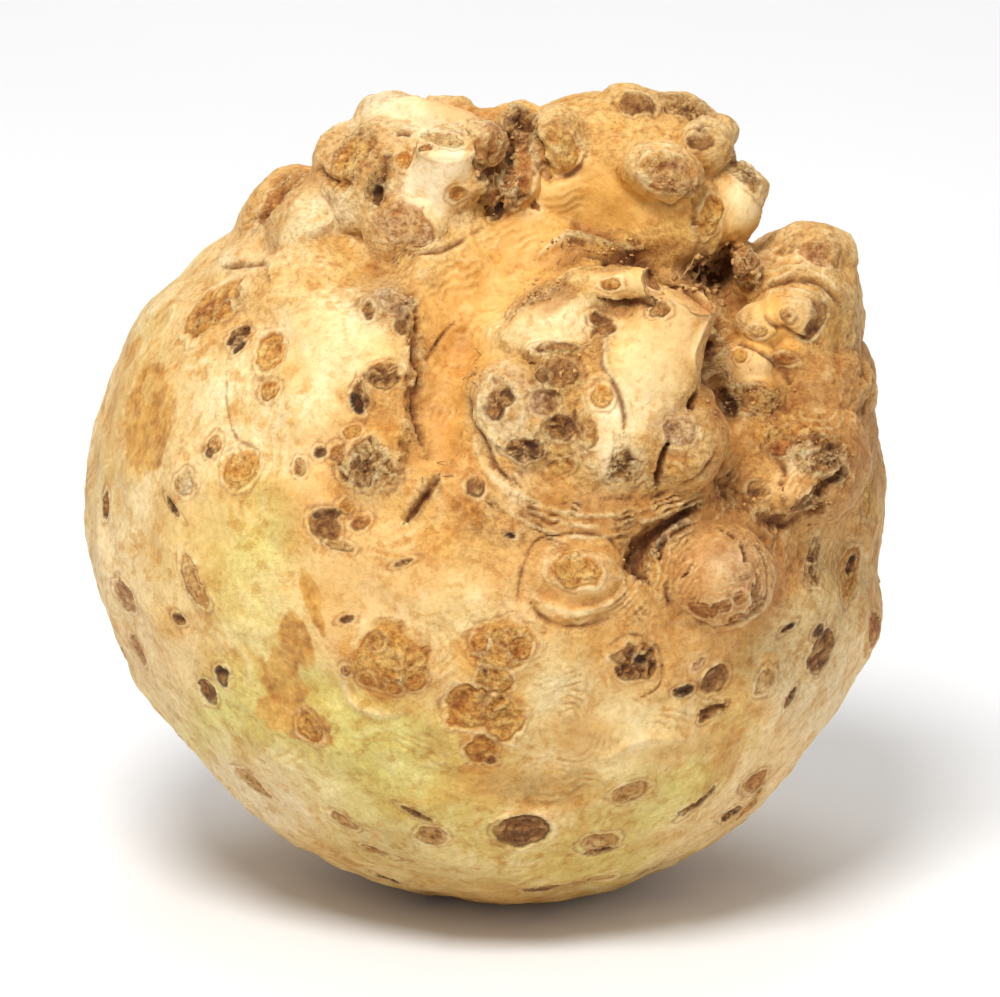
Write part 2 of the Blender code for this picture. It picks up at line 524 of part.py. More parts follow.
def leaf_end(points, normals):
    """The trimmed leaf end: rings of cut leaf bases round a sunken heart."""
    way = np.array(LEAF_END.normalized())
    spot = spot_along(points, way)
    away = np.linalg.norm(points - points[spot], axis=1)
    across, up = tangents(way)
    offset = points - points[spot]
    clock = np.arctan2(offset @ up, offset @ across)
    lift = np.zeros(len(points))
    for number, (radius, height) in enumerate(LEAF_RINGS):
        wave = 1 + 0.07 * np.sin(3 * clock + number * 2.1) + 0.04 * np.sin(7 * clock + number)
        ridge = np.exp(-(((away * wave - radius) / LEAF_RING_WIDTH) ** 2))
        broken = 0.7 + 0.3 * np.sin((4 + number) * clock + number * 1.7)
        lift += height * broken * ridge
    lift -= HEART_DEPTH * np.clip(1 - (away / HEART_RADIUS) ** 2, 0, 1)
    lift[away > 1.4 * LEAF_RINGS[0][0]] = 0
    points += normals * lift[:, None]


def roughness_share(points):
    """How rough the skin is: nearly smooth low on the left, rough at the root end."""
    toward_roots = points @ np.array((0.43, 0.62, 0.35)) / 58
    return np.clip(0.35 + 1.1 * toward_roots, 0.18, 1.0)


def sculpt(mesh):
    """Work the fused block over, from its wide hollows to its scars."""
    points = read_points(mesh)
    soften_far_side(points, mesh_edges(mesh))
    write_points(mesh, points)
    points, normals = read_points(mesh), read_normals(mesh)
    for _, start, start_depth, _, end, end_depth, radius in STUBS:
        root, tip = at(start, start_depth), at(end, end_depth)
        cut_end(points, tip, (tip - root) / np.linalg.norm(tip - root), radius)
    for place, radius, height in SWELLS:
        swell(points, normals, facing_spot(points, place), radius, height)
    draw = np.random.default_rng(SEED)
    for way in hidden_directions(HIDDEN_SWELLS, draw):
        swell(points, normals, spot_along(points, way), draw.uniform(7, 12), draw.uniform(-0.9, 1.5))
    for number, (wavelength, height) in enumerate(SKIN_WAVES):
        wave = lattice_noise(points, wavelength, SEED + 20 + number)
        points += normals * (height * wave)[:, None]
    write_points(mesh, points)

    points, normals = read_points(mesh), read_normals(mesh)
    for width, depth, places in GROOVES:
        crease(points, normals, [facing_spot(points, place) for place in places], width, -depth)
    for width, height, places in FOLDS:
        crease(points, normals, [facing_spot(points, place) for place in places], width, height)
    for place, half_sizes, turn, depth, rim in SCARS:
        scar(points, normals, facing_spot(points, place), half_sizes, turn, depth, rim)
    for way in hidden_directions(HIDDEN_SCARS, draw):
        half = draw.uniform(1.3, 4.2)
        half_sizes = (half, half * draw.uniform(0.55, 1.0))
        turn, depth, rim = draw.uniform(0, 180), draw.uniform(0.5, 1.4), draw.uniform(0.2, 0.7)
        scar(points, normals, spot_along(points, way), half_sizes, turn, depth, rim)
    leaf_end(points, normals)
    share = roughness_share(points)
    for number, (wavelength, height) in enumerate(ROUGH_WAVES):
        wave = lattice_noise(points, wavelength, SEED + 30 + number)
        points += normals * (height * share * wave)[:, None]
    write_points(mesh, points)


def stand_up(mesh):
    """Turn the viewer's frame upright, with the foot's height at zero."""
    points = read_points(mesh)
    down, level = math.sin(LOOK_DOWN), math.cos(LOOK_DOWN)
    upright = np.stack((
        points[:, 0],
        points[:, 1] * down - points[:, 2] * level,
        points[:, 1] * level + points[:, 2] * down,
    ), axis=1)
    upright[:, 2] -= upright[:, 2].min() + FOOT_DEPTH
    write_points(mesh, upright * METRES)


def thin_out(thing):
    """Reduce the mesh to the triangles that its forms need."""
    triangles = sum(len(face.vertices) - 2 for face in thing.data.polygons)
    reduce = thing.modifiers.new("reduce", "DECIMATE")
    reduce.ratio = MOST_TRIANGLES / triangles
    reduce.use_collapse_triangulate = True
    bake_modifiers(thing)


def cut_foot(mesh):
    """Cut the flat foot at height zero and close it."""
    bm = bmesh.new()
    bm.from_mesh(mesh)
    parts = bm.verts[:] + bm.edges[:] + bm.faces[:]
    cut = bmesh.ops.bisect_plane(
        bm, geom=parts, plane_co=(0, 0, 0), plane_no=(0, 0, -1), clear_outer=True, dist=1e-6
    )
    rim = [part for part in cut["geom_cut"] if isinstance(part, bmesh.types.BMVert)]
    bmesh.ops.remove_doubles(bm, verts=rim, dist=0.4 * METRES)
    open_edges = [edge for edge in bm.edges if edge.is_boundary]
    bmesh.ops.holes_fill(bm, edges=open_edges, sides=0)
    bmesh.ops.triangulate(bm, faces=bm.faces[:])
    bmesh.ops.recalc_face_normals(bm, faces=bm.faces[:])
    bm.to_mesh(mesh)
    bm.free()


def centre(mesh):
    """Put the middle of the outer sizes over zero."""
    points = read_points(mesh)
    middle = (points.min(0) + points.max(0)) / 2
    points[:, :2] -= middle[:2]
    write_points(mesh, points)


def skin_material():
    """Waxy cream-yellow skin, browner towards the roots."""
    material = bpy.data.materials.new("celeriac_skin")
    material.use_nodes = True
    shader = material.node_tree.nodes["Principled BSDF"]
    shader.inputs["Base Color"].default_value = (0.78, 0.56, 0.27, 1.0)
    shader.inputs["Roughness"].default_value = 0.6
    shader.inputs["Metallic"].default_value = 0.0
    return material


def main():
    clear_scene()
    root = block_out()
    sculpt(root.data)
    thin_out(root)
    stand_up(root.data)
    cut_foot(root.data)
    centre(root.data)
    root.data.materials.clear()
    root.data.materials.append(skin_material())
    root.data.shade_smooth()


if __name__ == "__main__":
    main()
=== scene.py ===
"""A celeriac root on a pale floor.

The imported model's form is blocked out again from the same solids, fused at a finer grid and worked over
with creases, folds, scars and crumbs, each of which also colours the skin that it marks. Root hairs and
crumbs of soil are pieces of their own.

The work is done in the viewer's frame, in millimetres: x to the right, y up, z towards the viewer, with
the middle of the globe at zero. Places on the side that faces the viewer are given as (across, down) in
pixels of a 1000 x 997 picture of that side; one pixel covers PIXEL millimetres. Sizes are millimetres and
colours are display values from 0 to 255.
"""

import math

import bmesh
import bpy
import numpy as np
from mathutils import Matrix, Vector


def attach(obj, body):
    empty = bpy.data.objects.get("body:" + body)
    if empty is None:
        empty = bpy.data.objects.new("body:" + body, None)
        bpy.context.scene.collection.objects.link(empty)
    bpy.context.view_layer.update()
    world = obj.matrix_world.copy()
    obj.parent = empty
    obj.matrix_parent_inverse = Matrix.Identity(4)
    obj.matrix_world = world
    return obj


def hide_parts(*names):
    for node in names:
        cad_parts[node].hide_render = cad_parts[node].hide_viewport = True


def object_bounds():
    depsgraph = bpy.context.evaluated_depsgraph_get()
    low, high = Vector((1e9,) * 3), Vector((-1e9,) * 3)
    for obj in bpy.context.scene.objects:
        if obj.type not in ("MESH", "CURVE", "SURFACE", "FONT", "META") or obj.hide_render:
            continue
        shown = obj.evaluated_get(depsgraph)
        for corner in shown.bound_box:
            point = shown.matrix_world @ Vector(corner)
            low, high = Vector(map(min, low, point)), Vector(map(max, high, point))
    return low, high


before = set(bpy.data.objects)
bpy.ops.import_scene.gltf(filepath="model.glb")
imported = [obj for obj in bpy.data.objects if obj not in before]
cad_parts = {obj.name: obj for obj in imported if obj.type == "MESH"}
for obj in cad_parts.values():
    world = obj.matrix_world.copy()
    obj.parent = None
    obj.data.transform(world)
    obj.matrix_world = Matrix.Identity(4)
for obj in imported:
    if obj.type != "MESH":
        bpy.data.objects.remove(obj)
CAD_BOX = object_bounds()

NODE = "celeriac_root"
METRES = 0.001          # metres in a millimetre
PIXEL = 0.15            # millimetres in a pixel of the picture
PICTURE = (1000, 997)
PICTURE_MIDDLE = (490, 505)
LOOK_DOWN = math.radians(18)    # how far the viewer looks down on the root
SEED = 11

# The globe: its outline's radius by clock angle (degrees, 0 to the right, 90 up), and its depths.
GLOBE_OUTLINE = (
    (0, 59.7), (12, 59.2), (25, 56), (43, 52.5), (60, 53), (90, 54.5), (112, 54.5), (128, 55.6),
    (141, 57.5), (150, 60.3), (165, 60.4), (180, 60), (195, 60.2), (206, 59.5), (219, 58.2), (232, 58.3),
    (245, 59), (260, 59.6), (275, 60.6), (295, 61.3), (307, 61.2), (320, 59.9), (333, 60), (342, 61),
    (351, 58.6),
)
FRONT_DEPTH = 54.0
BACK_DEPTH = 51.0

# Lobes and knobs: place, distance in front of the globe's middle, half sizes across, up and in depth,
# and turn in degrees anticlockwise.
LOBES = (
    # where the lobes flow into the globe
    ((372, 225), 12, (19, 11, 19), 20), ((608, 202), 6, (20, 13, 22), -6), ((790, 345), 2, (10, 17, 21)),
    ((796, 440), 16, (12.5, 15, 17)), ((606, 402), 34, (20, 19, 17)),
    # upper left lobe
    ((402, 186), 24, (13, 11, 13), 10), ((330, 222), 22, (10, 7, 9), 30),
    ((355, 166), 23, (6.4, 6.4, 7), 40), ((388, 124), 23, (5.6, 3.8, 5.6), 20),
    ((446, 222), 28, (7.6, 5, 7.4), 18), ((406, 228), 34.5, (6.2, 5, 4.6)),
    ((418, 240), 31, (7.4, 4, 6.4), 12), ((279, 202), 8, (8.6, 4.4, 8), 42),
    # upper right lobe
    ((618, 174), 18, (18.6, 12, 15), -4), ((632, 216), 25, (17, 8.5, 10), -8),
    ((727, 214), 24, (4.6, 5.6, 6.5), -14), ((557, 144), 29.5, (4.9, 5.8, 5.2), 8),
    ((512, 146), 26, (3.4, 6.6, 4), -8), ((633, 113), 23, (5.4, 4.2, 5.5)),
    ((686, 123), 20, (6.2, 3.8, 5), -30), ((659, 176), 34.5, (6.4, 4.5, 5), -10),
    ((703, 146), 29, (3.9, 3.8, 4.2), -30), ((721, 133), 24, (2, 2.4, 3)),
    ((506, 152), 17, (7.5, 5.6, 5.4)), ((505, 197), 30, (4.2, 3.4, 4.6), -20),
    # central lobe
    ((596, 410), 41, (19, 17.5, 15)), ((521, 421), 50, (8.2, 9.2, 6.5)),
    ((556, 334), 45, (9.4, 6.4, 7.4), 16), ((624, 312), 43, (6.4, 4.4, 5.6)), ((556, 352), 52, (5, 2, 3.4)),
    ((560, 374), 54, (3.2, 2.8, 2.4)), ((598, 418), 53, (2.6, 7, 3.4), 8),
    ((686, 442), 47, (6, 7.4, 6.4), -22), ((540, 296), 43, (7, 2.2, 4), 24),
    # right lobe
    ((794, 324), 18, (9.8, 13.6, 14.6)), ((804, 394), 22, (10.2, 8.4, 12)), ((807, 257), 20, (6.2, 4.6, 7)),
    ((743, 268), 28, (2.3, 3.2, 4.2)), ((757, 283), 22, (5, 4.6, 8)), ((742, 272), 8, (7, 3.4, 10)),
    ((718, 262), 14, (6, 4.6, 9)), ((791, 315), 30, (4.6, 3.6, 3.8), -28),
    ((758, 327), 32, (3.2, 3.2, 3.2), -30), ((750, 362), 32, (4.4, 3, 3.4), -28),
    ((788, 362), 30, (4.4, 3.4, 3.4), -24), ((756, 398), 33, (4.4, 3.4, 3.6)),
    # lower right lobe and knobs
    ((799, 461), 28, (11.2, 10.8, 11.2)), ((786, 488), 35.5, (5.6, 4.6, 4.4)),
    ((853, 400), 8, (3.6, 10, 8)), ((714, 575), 42, (8.2, 8.4, 5.8)), ((572, 566), 49, (8.2, 5.2, 4.8), -6),
)

# Stretches of root that bend or run under others: for each end the place, distance in front of the
# globe's middle and radius.
ROOTS = (
    ((378, 120), 22, 3.4, (420, 118), 28, 3.2), ((420, 118), 28, 3.2, (466, 138), 33, 3),
    ((428, 102), 16, 1.5, (462, 112), 19, 1.9), ((466, 128), 20, 2.4, (524, 116), 22, 2.4),
    ((520, 134), 27, 2, (530, 190), 32, 1.6),
)

# Cut root stubs, in the same form. The second end is cut flat.
STUBS = (
    ((466, 138), 33, 3, (490, 155), 37, 2.6), ((435, 212), 30, 5.8, (445, 147), 39, 3.6),
    ((720, 214), 24.5, 5.6, (741, 173), 24, 3.8), ((582, 290), 45.5, 3.4, (650, 284), 51.5, 2.8),
    ((646, 376), 47, 8.8, (686, 299), 52, 4.6),
)

CUT_ALLOWANCE = 1.2     # how much longer a stub is blocked out than it is cut
BLOCK_VOXEL = 0.6       # grid of the remesh that fuses the blocked-out solids
SOFTENING = 5           # passes that round the creases between them
FAR_SOFTENING = 45      # further passes for the side that the picture doesn't show
FAR_FROM, FAR_TO = 24.0, 4.0    # they begin at the first depth and are full at the second
FOOT_DEPTH = 1.1        # height of the cap that the flat foot takes off
WIDE_LEVELLING = (0.8, 120)     # strength and passes that level the skin, to tell bumps from hollows
FINE_LEVELLING = (0.7, 26)      # and the same for the fine ones

# Wide hollows and swells: place, radius, and how far the skin goes out (in, if negative).
SWELLS = (
    ((640, 226), 9, -2), ((580, 226), 10, -3.6), ((520, 254), 10.5, -6), ((716, 578), 7.5, 2.2),
    ((789, 318), 4, 0.9), ((756, 330), 3.2, 0.6), ((750, 362), 3.6, 0.7), ((786, 362), 3, 0.4),
    ((622, 366), 7, 1.2), ((478, 296), 10, -5.5), ((450, 345), 8.5, -5.5), ((437, 398), 7, -4.4),
    ((432, 446), 6, -3), ((716, 345), 4.5, -4), ((729, 405), 4.5, -5), ((472, 188), 4.5, 2.4),
    ((553, 198), 5.5, 2.4), ((735, 480), 6.5, -2.6), ((640, 545), 6, -2), ((345, 240), 7, -1.2),
    ((375, 270), 7, -2), ((310, 250), 9, 2.2), ((260, 285), 9, 1.8), ((300, 300), 9, 1.4),
    ((235, 250), 8, 1.2), ((143, 415), 9, -0.7), ((285, 690), 8, -1), ((560, 765), 9, -1.4),
    ((520, 790), 8, -1.2), ((230, 500), 9, 0.8), ((225, 600), 10, 1), ((330, 620), 10, 0.9),
    ((440, 590), 8, 1), ((400, 560), 8, 0.8), ((500, 655), 8, 1.2), ((388, 658), 8, 1.1),
    ((620, 760), 10, 1), ((440, 840), 8, 0.8), ((660, 590), 7, 0.9), ((760, 690), 9, 1),
    ((330, 740), 9, 0.7), ((300, 400), 9, 1.2), ((330, 340), 9, 1.8), ((218, 305), 7, 1.2),
    ((388, 310), 6, 2.2), ((368, 468), 7, 1.8), ((378, 388), 6, 1.6), ((590, 640), 8, -0.8),
    ((440, 700), 5, -0.9), ((345, 690), 4, -0.6), ((300, 560), 7, -0.6), ((480, 560), 7, -0.8),
    ((180, 470), 6, 0.6), ((820, 600), 8, 1), ((560, 650), 7, 0.7), ((680, 740), 8, 0.8),
    ((850, 540), 6, -0.8),
)
SKIN_WAVES = ((26.0, 0.9), (13.0, 0.55), (6.5, 0.22))   # wavelength and height of bumps all over
FINE_BUMPS = ((1.9, 0.20, 120), (0.9, 0.08, 123))       # of fine ones, and the number of their noise

# The side that the picture doesn't show.
HIDDEN_SWELLS = 46
SWELL_RADII = (7, 12)
SWELL_HEIGHTS = (-0.9, 1.5)
HIDDEN_SCARS = 95
SCAR_HALF_SIZES = (1.3, 4.2)
SCAR_BREADTHS = (0.55, 1.0)     # shares of the half size
HIDDEN_FROM = -0.05             # how far a hidden direction looks away, at least
CLEAR_OF_LEAVES = 0.93          # cosine of the angle that they keep from the leaf end
APART = 0.985                   # and from each other
LEAF_END = Vector((-0.50, -0.22, -0.84))    # which way the leaf end looks
LEAF_RINGS = ((18.0, 1.3), (14.4, 1.5), (11.0, 1.7), (7.8, 1.8))     # radius and height of each
LEAF_RING_WIDTH = 1.15
HEART_RADIUS = 6.6
HEART_DEPTH = 1.0

# Colours of the skin.
CREAM = (250, 230, 176)
PALE = (255, 247, 222)
WHITE = (255, 254, 246)
YELLOW = (240, 222, 166)
OCHRE = (242, 200, 120)
TAN = (220, 170, 92)
GREEN = (228, 232, 152)
GREY_GREEN = (196, 188, 142)
OLIVE = (158, 140, 92)
PINK = (210, 168, 128)
MAUVE = (204, 176, 152)
BROWN = (150, 98, 54)
DARK = (58, 38, 24)
# The grain's mottling: its dark colour is partly painted shade in the grain's hollows, its pale one partly
# painted highlight on its crests.
MOTTLE_AND_SHADE = (188, 148, 106)
MOTTLE_AND_HIGHLIGHT = (1.24, 1.27, 1.34, 1.0)      # what pale mottling, partly painted highlight, multiplies the skin's colour by
HAIRLINE = (170, 116, 64)
HAIRLINES = ((210.0, 0.008), (380.0, 0.012))    # cells per metre of the noise that they follow, and width
SPECK = (184, 128, 72)

# Colours of hairs and crumbs, dark and light.
HAIR_COLOURS = ((104, 68, 34), (200, 156, 96))
SOIL_COLOURS = ((150, 102, 54), (226, 174, 106))

# Where the skin's own colour changes: towards the roots, and low on the left.
ROOTS_WAY = np.array((0.43, 0.62, 0.35))
LOW_LEFT_WAY = np.array((-0.5, -0.8, 0.0))
MEAN_RADIUS = 58.0      # of the globe

# Patches in the skin's own colour: wavelength and number of their noise, then for each colour its
# strength and where in the noise it begins and is full.
GROUND_PATCHES = (
    (9.0, 43, ((TAN, 0.5, 0.1, 1.2), (PALE, 0.75, -0.1, -0.9))),
    (3.4, 46, ((TAN, 0.5, 0.2, 1.2), (PALE, 0.5, -0.1, -1.0))),
)

# What a scar is coloured with, from its low spots to its high ones.
TONES = {
    "orange": ((184, 116, 48), (238, 184, 98), (254, 224, 152)),
    "clay": ((168, 118, 46), (214, 166, 84), (238, 202, 124)),
    "bark": ((84, 54, 28), (150, 102, 56), (214, 166, 104)),
    "rust": ((126, 72, 36), (202, 136, 72), (240, 194, 128)),
    "brown": ((84, 54, 30), (166, 118, 68), (224, 184, 126)),
    "dark": ((38, 26, 16), (98, 70, 42), (182, 142, 92)),
    "tan": ((186, 134, 78), (230, 190, 128), (248, 222, 172)),
    "pink": ((178, 120, 84), (226, 182, 140), (246, 220, 186)),
    "mauve": ((140, 108, 90), (212, 182, 154), (246, 226, 198)),
    "straw": ((120, 76, 38), (218, 174, 110), (255, 242, 206)),
    "olive": ((112, 94, 58), (172, 150, 98), (214, 194, 142)),
    "cream": ((214, 170, 112), (250, 232, 190), (255, 250, 232)),
}

# The picture's camera and the studio.
SENSOR = 36.0           # millimetres
CAMERA_DISTANCE = 4.0   # metres
FLOOR_SIZE = 6.0        # metres from the middle to the side
LAMPS = (
    # name, place from the root's middle in metres, size in metres, power in watts
    ("key", (-0.17, -0.58, 0.92), 0.42, 12.3),
    ("fill", (0.8, -0.7, 0.35), 0.9, 1.0),
    ("back", (0.0, 0.5, 1.1), 0.8, 5.0),
)
ROOM_LIGHT = 0.48
PAINT_LIGHT = np.array((0.805, 0.65, 0.418))  # how much darker the paint is than it looks in this light

# Soft colour over wide areas: colour, strength, then across, down, half sizes and turn of each area.
WASHES = (
    (YELLOW, 0.35, ((260, 600, 30, 26),)),
    (GREEN, 0.46, (
        (300, 760, 30, 12, -12), (230, 530, 10, 7, 40), (275, 585, 9, 7), (330, 740, 12, 8, -20),
        (410, 735, 9, 7), (590, 690, 11, 7, 10), (420, 800, 16, 6), (640, 810, 14, 7, 10),
        (215, 740, 9, 14, -35), (560, 850, 20, 5), (110, 560, 5, 8), (290, 545, 6, 5),
    )),
    # grey-green skin, darkened as painted shade at the left edge and along the bottom
    (GREY_GREEN, 0.30, (
        (105, 500, 4, 12, 4), (150, 330, 8, 10, 30), (520, 885, 20, 3), (380, 850, 12, 4, -15),
    )),
    ((250, 234, 204), 0.70, (
        (110, 590, 6, 14, -10), (150, 690, 7, 12, -30), (840, 690, 9, 14, 25), (250, 800, 10, 7, -35),
        (780, 770, 12, 7, 40), (800, 640, 7, 9), (700, 840, 12, 6, 25), (870, 560, 4, 14),
    )),
    (PALE, 0.50, (
        (320, 330, 9, 8), (330, 375, 6, 7), (185, 460, 7, 9), (440, 600, 12, 7), (290, 430, 7, 8),
        (350, 590, 12, 8, 10), (205, 400, 7, 8), (310, 790, 9, 6, -20), (437, 690, 4, 6), (550, 672, 4, 5),
        (240, 390, 5, 8), (500, 600, 7, 4), (640, 725, 9, 4, 10), (120, 520, 4, 6), (590, 760, 8, 3),
    )),
    # ochre and brown towards the roots
    ((206, 150, 72), 0.35, (
        (560, 505, 14, 6), (650, 515, 12, 6), (750, 500, 8, 9), (815, 500, 9, 10), (750, 445, 7, 7),
        (690, 400, 6, 10), (400, 445, 6, 7), (745, 200, 5, 9), (690, 190, 7, 7), (745, 575, 8, 8),
    )),
    ((252, 242, 220), 0.40, (
        (190, 285, 8, 10, -40), (260, 255, 9, 6, -20), (118, 560, 5, 10), (820, 250, 6, 5),
    )),
    ((248, 212, 146), 0.75, (
        (600, 150, 20, 11), (330, 252, 12, 6, 20), (440, 250, 10, 5, 15), (474, 190, 4, 5),
    )),
    ((246, 240, 222), 0.80, (
        (245, 796, 10, 7, -35), (590, 690, 8, 6), (830, 705, 6, 8, 30), (700, 598, 3, 1.4, -20),
    )),
    ((234, 204, 146), 0.50, ((185, 545, 8, 8), (140, 400, 8, 10))),
    ((244, 204, 126), 0.80, ((620, 222, 13, 6, -6), (550, 235, 12, 8))),
    ((250, 214, 144), 0.80, ((490, 282, 9, 9, 30), (500, 386, 4, 2.4))),
    ((234, 186, 108), 0.75, ((455, 340, 6, 10, 20), (445, 410, 5, 12), (450, 480, 6, 8))),
    ((228, 180, 112), 0.62, (
        (540, 560, 10, 9), (620, 590, 16, 10), (500, 510, 12, 7, -25), (640, 545, 12, 7, 10),
        (740, 480, 8, 10), (690, 650, 10, 7), (590, 505, 13, 5), (740, 590, 7, 10),
    )),
    ((232, 186, 118), 0.55, (
        (405, 300, 5, 5), (408, 400, 4, 12), (370, 450, 8, 10), (330, 520, 6, 6), (400, 560, 8, 6),
        (498, 655, 5, 6), (390, 655, 8, 8), (630, 660, 7, 7), (330, 610, 6, 8), (220, 310, 7, 6, 20),
        (520, 790, 10, 3), (572, 726, 5, 3),
    )),
    # brown in the cleft beside the central lobe (the first, second and fourth areas), partly painted shade
    # there, and in hollows on the right
    ((200, 150, 92), 0.75, (
        (720, 345, 3.4, 10), (728, 402, 4, 5), (860, 400, 4, 14), (702, 286, 5, 5), (735, 500, 6, 4),
        (752, 400, 4, 3.4), (762, 562, 5, 7), (810, 500, 6, 3, 25),
    )),
    ((238, 196, 130), 0.65, ((800, 320, 12, 15), (850, 540, 6, 10), (795, 395, 8, 5))),
    ((204, 154, 88), 0.65, ((802, 445, 11, 10),)),
    (PINK, 0.65, ((721, 580, 7, 7.4),)),
    (GREY_GREEN, 0.30, ((770, 650, 6, 5), (835, 600, 6, 9))),
    # lobes
    ((246, 216, 160), 0.60, ((590, 420, 14, 14), (786, 488, 4, 4), (800, 250, 7, 4))),
    ((249, 225, 182), 0.85, (
        (655, 348, 8, 9), (782, 246, 4, 2.6), (750, 362, 4, 2.6, -28), (619, 283, 5.4, 2.2, -12),
    )),
    (PALE, 0.95, (
        (632, 405, 7, 6), (606, 428, 3, 7), (500, 444, 3, 6, 20), (540, 322, 7, 3.6, 14),
        (742, 190, 3.6, 4.4), (795, 458, 2, 3), (330, 222, 9, 5, 25),
    )),
    # pale skin and cut flesh of the upright stub and the arch, painted whiter still as painted light
    (WHITE, 0.95, ((438, 182, 6, 9, 10), (444, 145, 4, 2.4, -20), (418, 114, 10, 3.4, -10))),
    ((255, 206, 118), 0.80, ((782, 321, 5, 4, -28), (752, 340, 4, 3), (505, 185, 4, 6))),
    ((196, 146, 88), 0.60, ((826, 380, 6, 6), (600, 506, 12, 3))),
    (MAUVE, 0.55, (
        (522, 402, 6.5, 6), (674, 428, 4, 3.4), (392, 306, 4, 3), (825, 448, 4, 2.4), (729, 562, 3.6, 3.8),
    )),
    ((224, 172, 106), 0.65, (
        (345, 158, 8, 6, 40), (280, 200, 9, 4, 42), (510, 165, 4, 9), (470, 112, 8, 2.4, -15),
        (676, 186, 4, 3, -10), (560, 372, 4, 3.4), (404, 227, 5, 4),
    )),
    # olive; the band low in the middle (555, 783) is partly painted shade in a hollow
    (OLIVE, 0.35, ((378, 180, 2, 4, -8), (832, 308, 3, 5), (555, 783, 8, 2, 6))),
    ((228, 200, 160), 0.60, ((690, 112, 7, 3, -30), (385, 302, 4, 3.4))),
    # painted shadow under the stub at the upper right and in the gap below the finger stub
    ((84, 54, 28), 0.85, ((712, 264, 4.4, 2.4, 8), (626, 306, 3.2, 0.5, 8))),
    # brown marks; the one at (727, 404), deepest in the cleft beside the central lobe, is partly painted
    # shade
    ((172, 120, 62), 0.65, (
        (640, 258, 5, 1.2, 8), (826, 452, 4, 5), (690, 517, 7, 2.2, -10), (545, 296, 4.6, 1.2, 20),
        (727, 404, 2, 3), (574, 250, 5, 1.8, 24),
    )),
)

# Stains with clear edges: tone, strength, then across, down, half sizes and turn of each.
STAINS = (
    ("clay", 0.95, (
        (146, 416, 7.5, 9, 4), (133, 352, 3, 2.6), (310, 604, 1.6, 5, 20), (296, 640, 2.8, 5, 18),
        (284, 680, 4, 5.4, 6), (284, 714, 4.6, 3.8), (306, 727, 4, 3.3), (388, 658, 6.6, 6.1),
        (218, 304, 5.6, 3.6, 28), (708, 206, 2.4, 4, -14), (874, 629, 3.4, 8), (870, 500, 2.8, 5.6, 8),
        (484, 710, 7.6, 5.2), (484, 744, 3.4, 5.4), (490, 684, 4.4, 4), (480, 769, 3.4, 1.6),
    )),
    # the olive band low in the middle (555, 783) is partly painted shade in a hollow
    ("olive", 0.24, ((276, 516, 4, 5), (430, 741, 3, 3), (555, 783, 7, 2.2, 6), (151, 386, 2, 2.4))),
    ("orange", 0.75, (
        (496, 257, 1.1, 1), (264, 425, 0.9, 0.9), (291, 423, 0.7, 0.6), (456, 193, 1.1, 1.3),
        (617, 127, 1.4, 1.2), (670, 160, 1.6, 1.6), (383, 434, 3.4, 2), (595, 575, 1.6, 1.2),
        (175, 367, 0.8, 0.6), (381, 825, 0.7, 0.7), (741, 730, 1.2, 0.9), (761, 436, 2.6, 2.2),
        (800, 431, 2.6, 1.5), (330, 184, 3.4, 0.8, -8), (348, 452, 1.2, 1.4), (505, 466, 2, 1.2, -20),
        (562, 470, 2.2, 1.4, 30), (770, 660, 2.4, 1.6), (438, 540, 3.2, 2.6), (497, 650, 5.8, 4.6),
    )),
)

